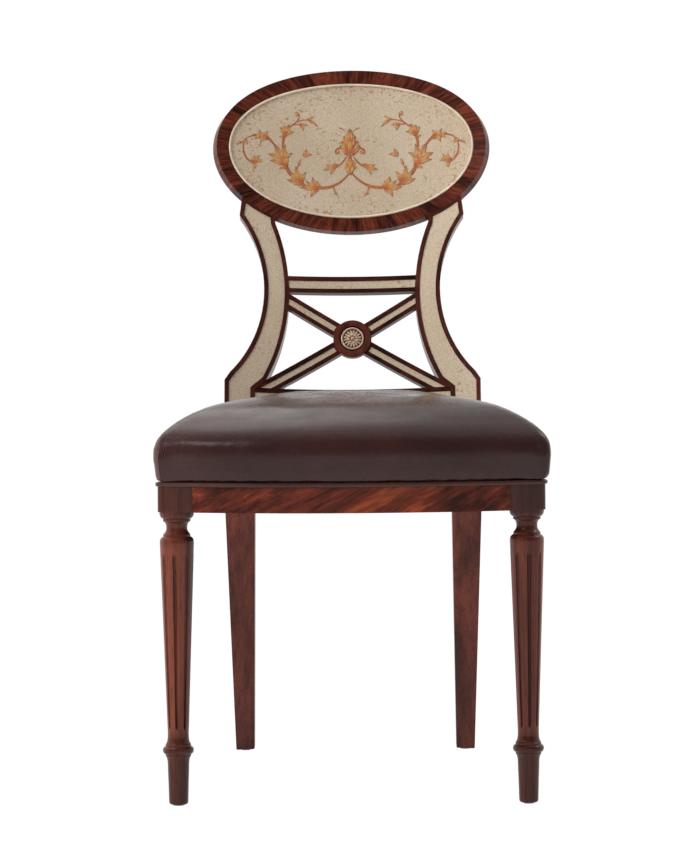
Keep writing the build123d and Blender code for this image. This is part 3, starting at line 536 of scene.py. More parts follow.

# %% [markdown]
# ## The turned front legs
# Each front leg comes off the lathe with a collar, a neck, a tapered shaft and a ring above the foot, and
# then gets eight narrow flutes. Its surface is a radius that depends on the height and on the angle: a
# table gives the outline as height and radius in millimetres, and each flute takes a round bite out of it,
# which closes in a half circle at both ends. The depth of the bite is kept as an attribute, and the
# flutes are painted darker by it: painted shade in the flutes.

# %% Turned legs
LEG_SPOT = np.array([0.225818, -0.260995])
LEG_OUTLINE = np.array([
    (1.2, 0.1), (1.2, 9.8), (1.8, 11.3), (3.2, 12.2), (5.4, 12.5), (31.2, 13.2), (44.0, 13.7),
    (53.0, 13.9), (57.0, 14.2), (59.5, 14.6), (60.8, 15.0), (62.1, 15.5), (63.4, 16.2), (64.2, 16.7),
    (66.1, 16.7), (66.3, 17.4), (67.2, 18.6), (68.5, 19.5), (69.9, 20.0), (71.2, 20.1), (72.5, 20.0),
    (73.8, 19.5), (75.0, 18.6), (75.9, 17.4), (76.1, 16.6), (78.8, 16.6), (79.4, 16.0), (80.6, 15.3),
    (82.0, 14.7), (84.0, 14.2), (87.0, 13.8), (92.0, 13.6), (98.0, 13.75), (338.0, 22.1), (341.2, 22.0),
    (343.0, 21.5), (344.4, 20.7), (345.6, 19.5), (346.5, 18.0), (346.7, 17.7), (349.6, 17.6),
    (350.4, 16.7), (351.4, 15.9), (352.6, 15.0), (354.2, 14.2), (356.0, 13.7), (358.0, 13.55),
    (360.0, 13.6), (361.8, 13.9), (363.4, 14.5), (364.6, 15.3), (365.6, 16.2), (366.2, 17.2),
    (366.3, 17.8), (369.8, 17.8), (370.0, 18.6), (370.6, 19.6), (371.5, 20.5), (372.7, 21.3),
    (374.0, 21.8), (375.3, 22.2), (376.5, 22.3), (379.2, 22.3), (379.2, 0.1)]) / 1000
LEG_STEP = 0.0022
FLUTES, FLUTE_TURN = 8, np.radians(5.0)
FLUTE_LOW, FLUTE_HIGH, FLUTE_END = 0.0985, 0.3245, 0.006
FLUTE_HALF, FLUTE_DEEP, FLUTE_SHADE = 0.0028, 0.0027, 0.35
SHAFT_TOP_RADIUS = 0.022
LEG_COLUMNS = 320
SHARP_EDGE = np.radians(32.0)


def leg_rows():
    """Heights and radii along the outline, two or more to each of its stretches."""
    length = np.linalg.norm(np.diff(LEG_OUTLINE, axis=0), axis=1)
    steps = np.maximum(np.ceil(length / LEG_STEP).astype(int), 2)
    place = np.concatenate([start + np.arange(count) / count for start, count in enumerate(steps)])
    return [np.interp(place, np.arange(len(LEG_OUTLINE)), column)[:, None] for column in LEG_OUTLINE.T]


def leg_points(side):
    """The outline turned about the leg's axis; a flute's depth is a half circle across it and at its ends."""
    height, radius = leg_rows()
    angle = np.linspace(0, 2 * np.pi, LEG_COLUMNS, endpoint=False)[None]
    end = np.clip(np.minimum(FLUTE_HIGH - height, height - FLUTE_LOW) / FLUTE_END, 0, 1)
    close = np.sqrt(1 - (1 - end) ** 2)
    pitch = 2 * np.pi / FLUTES
    aside = (np.mod((angle - FLUTE_TURN) / pitch + 0.5, 1.0) - 0.5) * pitch * radius
    half = np.maximum(FLUTE_HALF * radius / SHAFT_TOP_RADIUS * close, 1e-6)
    bite = FLUTE_DEEP * close * np.sqrt(np.clip(1 - (aside / half) ** 2, 0, 1))
    x = side * (LEG_SPOT[0] + (radius - bite) * np.sin(angle))
    y = LEG_SPOT[1] - (radius - bite) * np.cos(angle)
    # The second table is the painted shade of the flutes, from the depth of the bite.
    return np.stack(np.broadcast_arrays(x, y, height), axis=-1), FLUTE_SHADE * bite / FLUTE_DEEP


for name, side in SIDES.items():
    points, painted_shade = leg_points(side)
    leg_mesh = lay_grid(f"turned_leg_{name}", points, around=True, caps=True)
    leg_mesh.set_sharp_from_angle(angle=SHARP_EDGE)
    keep_values(leg_mesh, "painted_shade", painted_shade)
    add_piece(leg_mesh, leg_wood, "mahogany", f"front_leg_{name}")

# %% [markdown]
# ## The plan of the seat
# The seat's outline is a bowed front, two straight sides that come together to the back, and a dished
# rear edge. Moved in or out by an inset it keeps that form, so the cushion, the welt and the lining can
# all share one function. It works for many insets at once: each row of the result is one closed ring.

# %% Rings of the seat plan
FRONT_HALF, REAR_HALF, CORNER_RADIUS = 0.2505, 0.1815, 0.008
CORNER_Y, FRONT_BOW = -0.27511, 0.048
REAR_RADIUS = 0.5085
POST_INNER, POST_MIDDLE = 0.139, 0.16025
BOW_RADIUS = (FRONT_HALF**2 + FRONT_BOW**2) / (2 * FRONT_BOW)
BOW_Y = CORNER_Y - FRONT_BOW + BOW_RADIUS
POST_FRONT_Y = AXIS_Y + np.sqrt(DISH_RADIUS**2 - POST_MIDDLE**2)
SIDE_SLOPE = np.arctan2(FRONT_HALF - REAR_HALF, POST_FRONT_Y - CORNER_Y)


def side_meets_circle(inset, centre_y, radius, sign):
    """Where the side line, moved in by the inset, crosses a circle at its front (-1) or rear (+1)."""
    across, back = np.cos(SIDE_SLOPE), np.sin(SIDE_SLOPE)
    distance = FRONT_HALF * across + (CORNER_Y - centre_y) * back - inset
    run = np.sqrt(radius**2 - distance**2)
    return distance * across - sign * run * back, centre_y + distance * back + sign * run * across


def seat_rings(inset, corner, counts=(44, 12, 40, 10, 30)):
    """Half ring from the front middle to the rear middle, made of arc, corner, side, corner and arc, and
    then its mirror image. Each inset gives one row of the x table and of the y table."""
    inset, corner = np.atleast_1d(inset)[:, None], np.atleast_1d(corner)[:, None]
    core = inset + corner
    front_x, front_y = side_meets_circle(core, BOW_Y, BOW_RADIUS - core, -1)
    rear_x, rear_y = side_meets_circle(core, AXIS_Y, REAR_RADIUS - core, 1)
    front_turn = np.arcsin(front_x / (BOW_RADIUS - core))
    rear_turn = np.arcsin(rear_x / (REAR_RADIUS - core))
    steps = [np.linspace(0, 1, count, endpoint=False)[None] for count in counts]
    bow = front_turn * steps[0]
    bend = (front_turn - np.pi / 2) * (1 - steps[1]) + SIDE_SLOPE * steps[1]
    back_bend = SIDE_SLOPE * (1 - steps[3]) + (np.pi / 2 - rear_turn) * steps[3]
    dish = rear_turn * (1 - np.linspace(0, 1, counts[4])[None])
    side_x = front_x + (rear_x - front_x) * steps[2] + corner * np.cos(SIDE_SLOPE)
    side_y = front_y + (rear_y - front_y) * steps[2] + corner * np.sin(SIDE_SLOPE)
    x = np.concatenate([(BOW_RADIUS - inset) * np.sin(bow), front_x + corner * np.cos(bend), side_x,
                        rear_x + corner * np.cos(back_bend), (REAR_RADIUS - inset) * np.sin(dish)], axis=1)
    y = np.concatenate([BOW_Y - (BOW_RADIUS - inset) * np.cos(bow), front_y + corner * np.sin(bend), side_y,
                        rear_y + corner * np.sin(back_bend),
                        AXIS_Y + (REAR_RADIUS - inset) * np.cos(dish)], axis=1)
    return np.concatenate([x, -x[:, -2:0:-1]], axis=1), np.concatenate([y, y[:, -2:0:-1]], axis=1)


def seat_ring(inset, corner, counts):
    """The x and y of one ring of the seat plan."""
    x, y = seat_rings(inset, corner, counts)
    return x[0], y[0]


plan_x = seat_rings(0.0, CORNER_RADIUS)[0]
print("seat plan", plan_x.shape, "half width", round(float(plan_x.max()), 4))

# %% [markdown]
# ## The blocks above the legs
# The square block of a front leg is a slice of that plan: the ring's outer edge near the corner, and the
# same stretch of a ring further in. It stands a hair proud of the rails, so that the joint shows.

# %% Leg blocks
BLOCK_LOW, BLOCK_HIGH = 0.3790, 0.4116
BLOCK_HALF, BLOCK_DEEP, BLOCK_PROUD = 0.0221, 0.030, 0.00015
BLOCK_COUNTS = (400, 24, 400, 4, 8)


def block_points(side):
    """Two levels of one closed outline: the outer ring's stretch near the leg, then the inner ring's, run
    backwards."""
    outer_x, outer_y = seat_ring(-BLOCK_PROUD, CORNER_RADIUS, BLOCK_COUNTS)
    inner_x, inner_y = seat_ring(BLOCK_DEEP, CORNER_RADIUS, BLOCK_COUNTS)
    near = np.flatnonzero((outer_x > LEG_SPOT[0] - BLOCK_HALF) & (outer_y < LEG_SPOT[1] + BLOCK_HALF))
    x = np.concatenate([outer_x[near], inner_x[near[::-1]]])
    y = np.concatenate([outer_y[near], inner_y[near[::-1]]])
    level = np.array([BLOCK_LOW, BLOCK_HIGH])[:, None]
    return np.stack(np.broadcast_arrays(side * x, y, level), axis=-1)


for name, side in SIDES.items():
    block_mesh = lay_grid(f"leg_block_{name}", block_points(side), around=True, caps=True)
    block_mesh.set_sharp_from_angle(angle=SHARP_EDGE)
    # The blocks wear the legs' finish, whose colour by height paints them dark: painted shade under the seat.
    add_piece(block_mesh, leg_wood, "mahogany")

# %% [markdown]
# ## The stuffed seat
# The leather is pulled over the stuffing and tacked under the welt. The form is a stack of seat rings: the
# profile gives each ring's inset and height in millimetres, swells above the welt and rounds over to a low
# dome.
# The two posts come up through the back corners, so their room is cut out. Then the form is remeshed
# to even quads and blown up a little as a cloth, with its lower edge held, as a stuffed cover is.

# %% Profile of the cushion
CUSHION_PROFILE = np.array([
    (12.0, 418.3), (2.4, 418.2), (-1.8, 419.0), (-3.6, 421.8), (-4.7, 427.2), (-5.9, 436.0), (-7.0, 450.0),
    (-6.6, 460.0), (-4.9, 467.5), (-0.9, 475.5), (8.0, 485.5), (20.7, 495.4), (36.8, 504.8), (58.8, 513.3),
    (86.4, 519.2), (110.0, 522.3)]) / 1000
CUSHION_CORNER, CORNER_GROWTH, WIDEST = 0.010, 0.1, 0.007
DOME_RISE = 0.0032
SEAT_SHIFT = 0.0012


def cushion_points():
    """Rings along the smoothed profile, with corners that grow inwards, then rings drawn in to the middle
    under a parabola."""
    profile = smooth_line(CUSHION_PROFILE, 64)
    inset = profile[:, 0]
    x, y = seat_rings(inset, CUSHION_CORNER + CORNER_GROWTH * np.maximum(inset + WIDEST, 0.0))
    z = np.repeat(profile[:, 1:], x.shape[1], axis=1)
    middle_y = y[-1].mean()
    share = np.linspace(1, 0.02, 24)[1:, None]
    x = np.concatenate([x, share * x[-1:]])
    y = np.concatenate([y, middle_y + share * (y[-1:] - middle_y)])
    z = np.concatenate([z, z[-1:] + DOME_RISE * (1 - share**2)])
    return np.stack([x + SEAT_SHIFT, y, z], axis=-1)

# %% Room for the posts
KNEE_ARC = 0.200
POST_GAP = 0.0012
ROOM_LOW, ROOM_HIGH, ROOM_SIDE, ROOM_BACK = 0.38, 0.60, 0.26, 0.32


def post_front(x, z):
    """Y of the posts' front face: a plan circle, whose radius grows straight up the lean above the knee and
    follows an arc across it."""
    centre = DISH_RADIUS + KNEE_ARC / np.cos(LEAN)
    arc = centre - np.sqrt(np.maximum(KNEE_ARC**2 - (z - KNEE_Z) ** 2, 0.0))
    straight = DISH_RADIUS + (z - KNEE_Z) * np.tan(LEAN)
    radius = np.where(np.abs(z - KNEE_Z) < KNEE_ARC * np.sin(LEAN), arc, straight)
    return AXIS_Y + np.sqrt(radius**2 - x**2)


def post_room(side):
    """Closed block around one post: its front face follows the post, a gap in front of it."""
    z = np.linspace(ROOM_LOW, ROOM_HIGH, 40)[:, None]
    x = np.linspace(POST_INNER - POST_GAP, ROOM_SIDE, 24)[None]
    front = post_front(x, z) - POST_GAP
    x, z = np.broadcast_arrays(x, z)
    back = np.full_like(x, ROOM_BACK)
    ahead, behind = np.stack([x, front, z], axis=-1), np.stack([x, back, z], axis=-1)
    block = np.concatenate([ahead, behind[:, ::-1]], axis=1)
    return block * np.array([side, 1.0, 1.0])


def cut_posts(body):
    """Takes the room of both posts out of a body and returns the new mesh."""
    for side in SIDES.values():
        room = lay_grid("post_cutter", post_room(side), around=True, caps=True)
        cutter = bpy.data.objects.new("post_cutter", room)
        scene.collection.objects.link(cutter)
        cut = body.modifiers.new("post", "BOOLEAN")
        cut.object, cut.operation, cut.solver = cutter, "DIFFERENCE", "EXACT"
    mesh = finished_mesh(body)
    for cut in list(body.modifiers):
        bpy.data.objects.remove(cut.object)
    body.modifiers.clear()
    return mesh


form_mesh = lay_grid("seat_form", cushion_points(), around=True, caps=True)
body = bpy.data.objects.new("seat_form", form_mesh)
scene.collection.objects.link(body)
body.data = cut_posts(body)
print("form", len(body.data.vertices), "points")

# %% Even quads, and where the cover is held
QUAD_SIZE = 0.005
TACK_Z, TACK_FADE = 0.4195, 0.014
POST_HOLD, POST_FADE = 0.004, 0.016


def remesh(body, size):
    """Even quads all over the body, and no modifier left on it."""
    even = body.modifiers.new("even", "REMESH")
    even.mode, even.voxel_size = "VOXEL", size
    body.data = finished_mesh(body)
    body.modifiers.clear()


def free_share(points):
    """Zero where the cover is tacked or meets a post, one where it is free, with a smooth step between."""
    x, y, z = points.T
    low = np.clip((z - TACK_Z) / TACK_FADE, 0, 1)
    across = np.maximum(POST_INNER - np.abs(x), 0)
    ahead = np.maximum(post_front(x, z) - y, 0)
    near = np.clip((np.hypot(across, ahead) - POST_HOLD) / POST_FADE, 0, 1)
    return smooth_step(np.minimum(low, near))


remesh(body, QUAD_SIZE)
print("even quads", len(body.data.polygons))

# %% Blowing the cover up
SWELL = 0.004
UNEVEN, UNEVEN_SHARE, SOFT_ROUNDS = 0.0008, 0.3, 12
HELD_STEP = 0.3
AIR_FRAMES = 20


def soften(values, edges, rounds):
    """Each value moves half way to the mean of its neighbours, a number of times over."""
    ends = np.concatenate([edges, edges[:, ::-1]])
    count = np.maximum(np.bincount(ends[:, 0], minlength=len(values)), 1)
    for _ in range(rounds):
        near = np.bincount(ends[:, 0], weights=values[ends[:, 1]], minlength=len(values)) / count
        values = 0.5 * (values + near)
    return values


def add_air(body, share):
    """Cloth under air pressure, held in steps of weight where the cover isn't free."""
    held = body.vertex_groups.new(name="held")
    stepped = np.clip(np.round((1 - share) / HELD_STEP) * HELD_STEP, 0, 1)
    for weight in (1.0, 0.6, 0.3):
        chosen = np.flatnonzero(np.isclose(stepped, weight, atol=0.11))
        held.add(chosen.tolist(), weight, "REPLACE")
    cloth = body.modifiers.new("air", "CLOTH")
    cloth.settings.use_pressure = True
    cloth.settings.uniform_pressure_force = 4.0
    cloth.settings.quality = 5
    cloth.settings.tension_stiffness = cloth.settings.compression_stiffness = 20.0
    cloth.settings.bending_stiffness = 2.0
    cloth.settings.vertex_group_mass = "held"
    cloth.settings.effector_weights.gravity = 0.0


def blow_up(body):
    """Air pushes the slightly shrunk leather out for twenty frames; the cover keeps its stuffed size, and
    takes on how much further or less far than the middle value each part went, softened and capped."""
    target, normals = mesh_vectors(body.data, "co"), mesh_vectors(body.data, "normal")
    share = free_share(target)
    start = target - normals * (SWELL * share)[:, None]
    body.data.vertices.foreach_set("co", start.ravel())
    add_air(body, share)
    for step in range(1, AIR_FRAMES + 1):
        scene.frame_set(step)
    pushed = ((mesh_vectors(finished_mesh(body), "co") - start) * normals).sum(axis=1)
    scene.frame_set(1)
    body.modifiers.clear()
    edges = np.empty(len(body.data.edges) * 2, dtype=np.int32)
    body.data.edges.foreach_get("vertices", edges)
    uneven = soften(pushed - np.median(pushed[share > 0.99]), edges.reshape(-1, 2), SOFT_ROUNDS)
    uneven = np.clip(UNEVEN_SHARE * uneven, -UNEVEN, UNEVEN) * share
    body.data.vertices.foreach_set("co", (target + normals * uneven[:, None]).ravel())
    body.data.update()
    print("pushed out by", np.round(np.percentile(pushed, (5, 50, 95)) * 1000, 1), "mm")


blow_up(body)

# %% [markdown]
# ## Finishing the leather
# One subdivision rounds the quads, and a slow unevenness is pushed in along the normals, as in leather that
# has been sat on. The left front edge, which faces the key lamp, is painted paler as painted light: the mesh
# keeps how much.
# At the two front corners the leather of the front is folded over that of the side: the fold is a strip of
# the seat's own surface that lifts off towards its edge and then drops. A few short wrinkles gather at its
# upper end.

# %% Uneven leather
LIGHT_EDGE_FROM, LIGHT_EDGE_WIDTH, LIGHT_EDGE_BACK = 0.2455, 0.003, -0.15
WAVE_LOW, WAVE_FADE = 0.43, 0.02


def subdivide(mesh):
    """Mesh after one round of subdivision."""
    carrier = bpy.data.objects.new("carrier", mesh)
    scene.collection.objects.link(carrier)
    round_off = carrier.modifiers.new("round", "SUBSURF")
    round_off.levels = round_off.render_levels = 1
    finer = finished_mesh(carrier)
    bpy.data.objects.remove(carrier)
    return finer


def wear_leather(mesh):
    """Slow waves of about half a millimetre, which fade out towards the tacked edge."""
    points, normals = mesh_vectors(mesh, "co"), mesh_vectors(mesh, "normal")
    x, y, z = points.T
    slow = 0.0004 * np.sin(23 * x + 2.0) * np.sin(31 * y + 0.7) + 0.0002 * np.sin(61 * x - 17 * y + 40 * z)
    points = points - normals * (slow * np.clip((z - WAVE_LOW) / WAVE_FADE, 0, 1))[:, None]
    mesh.vertices.foreach_set("co", points.ravel())
    mesh.update()


def painted_light_edge(points):
    """Painted light: one past a line along the left front edge, and zero inside it."""
    x, y = points.T[:2]
    return np.clip((SEAT_SHIFT - x - LIGHT_EDGE_FROM) / LIGHT_EDGE_WIDTH, 0, 1) * (y < LIGHT_EDGE_BACK)


cover_mesh = subdivide(body.data)
bpy.data.objects.remove(body)
cover_mesh.name = "seat_cushion"
wear_leather(cover_mesh)
cover_mesh.shade_smooth()
keep_values(cover_mesh, "painted_light", painted_light_edge(mesh_vectors(cover_mesh, "co")))
cushion = add_piece(cover_mesh, hide, "leather", "leather_cover", "seat_foam")

# %% Corner folds
FOLD_COUNTS = (880, 60, 8, 4, 8)
FOLD_FIRST, FOLD_END, FOLD_STEP = 784, 869, 0.000285
FOLD_LIFT, FOLD_RUN, FOLD_SINK = 0.0028, 0.020, 0.0007
FOLD_TOP, FOLD_FADE = 0.466, 0.020
FOLD_DROP, FOLD_INNER, PROBE = 0.0012, 0.0016, 0.001
RIPPLE_LENGTH, RIPPLE_DEEP, RIPPLE_PHASE_Z = 0.0034, 0.0004, 0.456
BELL_Z, BELL_BACK, BELL_HIGH, BELL_WIDE = 0.457, 0.006, 0.007, 0.005
FOLD_SHADE_WIDTH = 0.0016


def fold_points(side):
    """Strip of the rings at a front corner, lifted towards its edge; a second layer inside closes its back.
    Short waves under a bell curve wrinkle its upper end, and along its edge a dark line of painted shade is
    kept."""
    profile = smooth_line(CUSHION_PROFILE[2:10], 110)
    inset, height = profile[:, 0], profile[:, 1:]
    rings = [np.stack(np.broadcast_arrays(*seat_rings(inset - out, CUSHION_CORNER, FOLD_COUNTS), height),
                      axis=-1)[:, FOLD_FIRST:FOLD_END] for out in (0.0, PROBE)]
    outward = (rings[1] - rings[0]) / PROBE
    back = np.arange(FOLD_END - FOLD_FIRST)[None, ::-1] * FOLD_STEP
    rise = np.clip(1 - back / FOLD_RUN, 0, 1)
    fade = np.clip((FOLD_TOP - height) / FOLD_FADE, 0, 1)
    lift = FOLD_LIFT * smooth_step(rise) * smooth_step(fade) - FOLD_SINK
    ripple = np.sin((0.5 * (height - RIPPLE_PHASE_Z) + back) * 2 * np.pi / RIPPLE_LENGTH)
    bell = np.exp(-(((height - BELL_Z) / BELL_HIGH) ** 2) - ((back - BELL_BACK) / BELL_WIDE) ** 2)
    lift = lift + RIPPLE_DEEP * ripple * bell
    lift[:, -2] *= 0.5
    lift[:, -1] = -FOLD_DROP
    inner = (rings[0] - FOLD_INNER * outward)[:, ::-1]
    strip = np.concatenate([rings[0] + outward * lift[..., None], inner], axis=1)
    strip = strip * np.array([side, 1.0, 1.0]) + np.array([SEAT_SHIFT, 0.0, 0.0])
    # Painted shade: a dark line along the fold's edge.
    painted_shade = np.clip(1.2 - back / FOLD_SHADE_WIDTH, 0, 1) * fade
    return strip, np.concatenate([painted_shade, painted_shade[:, ::-1]], axis=1)


for name, side in SIDES.items():
    points, painted_shade = fold_points(side)
    fold_mesh = lay_grid(f"corner_fold_{name}", points, around=True, caps=True)
    keep_values(fold_mesh, "painted_shade", painted_shade)
    add_piece(fold_mesh, hide, "leather")

# %% [markdown]
# ## The welt
# Between leather and wood runs a cord covered with the same leather, painted a little paler as painted
# light on the round cord. It is a round profile carried along one ring of the seat plan; the ring is broken
# where the two posts stand.

# %% Welt
WELT_Z, WELT_RADIUS = 0.4147, 0.0031
WELT_PROUD, WELT_CORNER, WELT_GAP = 0.0002, 0.0082, 0.0006
REAR_Y = 0.1


def tube(path, radius, sides=16):
    """Round profile carried along a path: two directions square to the path span each circle."""
    way = np.gradient(path, axis=0)
    way /= np.linalg.norm(way, axis=1, keepdims=True)
    aside = np.cross(way, np.array([0.0, 0.0, 1.0]))
    aside /= np.linalg.norm(aside, axis=1, keepdims=True)
    over = np.cross(aside, way)
    turn = np.linspace(0, 2 * np.pi, sides, endpoint=False)[None, :, None]
    return path[:, None] + radius * (np.cos(turn) * aside[:, None] + np.sin(turn) * over[:, None])


welt_x, welt_y = seat_ring(-WELT_PROUD, WELT_CORNER, (80, 16, 60, 10, 60))
ring_path = np.stack([welt_x, welt_y, np.full_like(welt_x, WELT_Z)], axis=-1)
from_rear = np.roll(ring_path, len(ring_path) // 2, axis=0)
outside = (np.abs(from_rear[:, 0]) > POST_INNER) | (from_rear[:, 1] < REAR_Y)
ahead_of_post = from_rear[:, 1] < post_front(from_rear[:, 0], WELT_Z) - WELT_GAP
front_welt = from_rear[outside & ahead_of_post]
between_posts = (np.abs(welt_x) < POST_INNER - WELT_GAP) & (welt_y > REAR_Y)
rear_welt = ring_path[between_posts]
rear_welt = rear_welt[np.argsort(rear_welt[:, 0])]
welt_mesh = lay_grid("seat_welt_cord", tube(front_welt, WELT_RADIUS), around=True, caps=True)
rear_mesh = lay_grid("rear_welt_cord", tube(rear_welt, WELT_RADIUS), around=True, caps=True)
add_piece(welt_mesh, lit_cord_hide, "leather", "seat_welt")
add_piece(rear_mesh, lit_cord_hide, "leather")

# %% [markdown]
# ## The lining under the seat
# Black cloth is tacked under the rails and hangs down a few millimetres in the middle. It is a grid of
# shrinking seat rings; where a ring would run into a leg or a post, its edge is drawn back, and the rings
# inside it are drawn back less and less.

# %% Lining
LINING_Z, LINING_SAG = 0.3786, 0.005
LINING_INSET, LINING_CORNER = 0.0095, 0.006
LINING_MIDDLE_Y = -0.06
LEG_CLEAR, POST_CLEAR = 0.0229, 0.0006


def lining_points():
    """Rings from the edge to the middle; each ray ends short of a leg or a post, and a parabola sags."""
    x, y = seat_ring(LINING_INSET, LINING_CORNER, (80, 30, 160, 40, 90))
    ray_x, ray_y = x, y - LINING_MIDDLE_Y
    share = np.linspace(0.5, 1.0, 501)[:, None]
    at_x, at_y = share * ray_x, LINING_MIDDLE_Y + share * ray_y
    leg = np.hypot(np.abs(at_x) - LEG_SPOT[0], at_y - LEG_SPOT[1]) < LEG_CLEAR
    beside = np.abs(at_x) > POST_INNER - POST_CLEAR
    blocked = leg | (beside & (at_y > post_front(at_x, LINING_Z) - POST_CLEAR))
    reach = np.where(blocked.any(axis=0), share[blocked.argmax(axis=0), 0], 1.0)
    part = np.linspace(1.0, 0.01, 26)[:, None]
    drawn = part * (1 - (1 - reach) * part**3)
    sag = LINING_SAG * (1 - drawn**2) * (1 - drawn**6)
    return np.stack([drawn * ray_x, LINING_MIDDLE_Y + drawn * ray_y, LINING_Z - sag], axis=-1)


lining_mesh = lay_grid("seat_lining", lining_points(), around=True)
lining_sheet = add_piece(lining_mesh, lining, "black_cloth", "dust_cover")
areas = np.empty(len(lining_mesh.polygons))
lining_mesh.polygons.foreach_get("area", areas)
wide, deep = np.ptp(mesh_vectors(lining_mesh, "co"), axis=0)[:2]

# %% [markdown]
# ## The gilt slip
# A narrow gilt moulding lies between the rosewood and the glass. Its profile is rounded, so that it
# catches one bright line of light all the way round. The profile is an ellipse, carried round the oval.

# %% Gilt slip
SLIP_INSET, SLIP_HALF_WIDTH = 0.0218, 0.00172
SLIP_DEEP, SLIP_HALF_DEPTH = 0.0009, 0.0019
turn = np.linspace(0, 2 * np.pi, 360, endpoint=False)[:, None]
section = np.linspace(0, 2 * np.pi, 24, endpoint=False)[None]
slip_out = -SLIP_INSET + SLIP_HALF_WIDTH * np.cos(section)
slip_deep = SLIP_DEEP - SLIP_HALF_DEPTH * np.sin(section)
slip_points = lay_on_back((OVAL_HALF_WIDTH + slip_out) * np.cos(turn),
                          (OVAL_HALF_HEIGHT + slip_out) * np.sin(turn), slip_deep)
slip_mesh = lay_grid("gilt_slip", slip_points, around=True, along=True)
add_piece(slip_mesh, gilding, "gilded_wood", "oval_gilt_slip")

# %% [markdown]
# ## The wooden boss
# The disc over the crossing of the bars is turned on a lathe: one profile, carried round its own axis, which
# leans back with the chair. A row of the profile has a radius, how far it stands ahead of the back, both in
# millimetres, and how dark it is painted: the floor and wall of the pocket are painted dark, as painted
# shade round the rosette.

# %% Boss
BOSS_RISE = 0.191
BOSS_PROFILE = np.array([
    (0.1, 0.2, 1), (18.0, 0.2, 1), (18.2, 0.4, 1), (18.2, 2.5, 1), (18.3, 2.8, 0.5), (18.6, 3.0, 0),
    (22.0, 3.0, 0), (25.7, 3.0, 0), (26.4, 2.8, 0), (26.9, 2.4, 0), (27.2, 1.6, 0), (27.3, 0.8, 0),
    (27.3, -4.0, 0), (27.3, -8.5, 0), (27.1, -9.1, 0), (26.5, -9.5, 0), (25.0, -9.5, 0), (0.1, -9.5, 0)])
BOSS_SHARP_EDGE = np.radians(40.0)


def turned_about_boss(radius, angle, ahead):
    """Point at a radius and angle about the boss's axis, and a distance ahead of the back's front."""
    across, up = radius * np.cos(angle), BOSS_RISE + radius * np.sin(angle)
    return np.stack([across, KNEE_Y + up * np.sin(LEAN) - ahead * np.cos(LEAN),
                     KNEE_Z + up * np.cos(LEAN) + ahead * np.sin(LEAN)], axis=-1)


angle = np.linspace(0, 2 * np.pi, 144, endpoint=False)[None]
radius, ahead, painted_shade = (np.repeat(column[:, None], angle.size, axis=1) for column in BOSS_PROFILE.T)
boss_points = turned_about_boss(radius / 1000, angle, ahead / 1000)
boss_mesh = lay_grid("turned_boss", boss_points, around=True, caps=True)
keep_values(boss_mesh, "painted_shade", painted_shade)
boss_mesh.set_sharp_from_angle(angle=BOSS_SHARP_EDGE)
add_piece(boss_mesh, boss_wood, "mahogany", "centre_boss")

# %% [markdown]
# ## The brass rosette
# The rosette is a cast flower of two rows of leaves around a bead, inside a plain rim. It is one height
# field in polar coordinates: the height is the largest of plate, outer leaves, inner leaves, bead and rim.
# How low a point lies is kept as an attribute, and by it the hollows are painted dark brown: painted shade.

# %% Rosette
ROSETTE_FLOOR, ROSETTE_PLATE = 0.0002, 0.0007
ROSETTE_RADIUS, INNERMOST = 0.0167, 0.0001
OUTER_PETALS = {"count": 16, "shift": 0.0, "low": 0.0046, "high": 0.0131, "height": 0.0021}
INNER_PETALS = {"count": 8, "shift": 0.25, "low": 0.0016, "high": 0.0088, "height": 0.0029}
RIM_RADIUS, RIM_HALF, RIM_HIGH = 0.0151, 0.0016, 0.0023
BEAD_RADIUS, BEAD_FOOT = 0.0023, 0.0011
HOLLOW_DEPTH = 0.0016


def petals(radius, angle, count, shift, low, high, height):
    """Leaves in a ring: an arch along the radius times a rounded back across, with a groove down the
    middle."""
    along = np.clip((radius - low) / (high - low), 0, 1)
    across = np.mod(angle * count / (2 * np.pi) + shift, 1.0) - 0.5
    half = 0.42 * np.sin(np.pi * (0.16 + 0.72 * along)) ** 0.8
    back = np.sqrt(np.clip(1 - (across / half) ** 2, 0, 1))
    groove = 0.25 * np.exp(-((across / 0.07) ** 2)) * np.sin(np.pi * along)
    return height * np.sin(np.pi * along) ** 0.55 * np.clip(back - groove, 0, 1)


def rosette_points():
    """Rows of growing radius, columns round the circle; two last rows turn down and in to close the back."""
    radius = np.linspace(INNERMOST, ROSETTE_RADIUS, 120)[:, None]
    angle = np.linspace(0, 2 * np.pi, 288, endpoint=False)[None]
    rim = RIM_HIGH * np.sqrt(np.clip(1 - ((radius - RIM_RADIUS) / RIM_HALF) ** 2, 0, 1))
    ball = BEAD_FOOT + np.sqrt(np.clip(BEAD_RADIUS**2 - radius**2, 0, None))
    bead = np.where(radius < BEAD_RADIUS, ball, 0.0)
    flower = np.maximum(petals(radius, angle, **OUTER_PETALS), petals(radius, angle, **INNER_PETALS))
    high = ROSETTE_PLATE + np.maximum(np.maximum(flower, bead), rim)
    high = np.concatenate([high, np.zeros((2, angle.size))])
    radius = np.concatenate([radius, [[ROSETTE_RADIUS], [INNERMOST]]])
    painted_shade = 1 - np.clip((high - ROSETTE_PLATE) / HOLLOW_DEPTH, 0, 1)
    return turned_about_boss(radius, angle, ROSETTE_FLOOR + high), painted_shade


points, painted_shade = rosette_points()
rosette_mesh = lay_grid("rosette_flower", points, around=True, caps=True)
keep_values(rosette_mesh, "painted_shade", painted_shade)
add_piece(rosette_mesh, brass, "brass", "rosette")

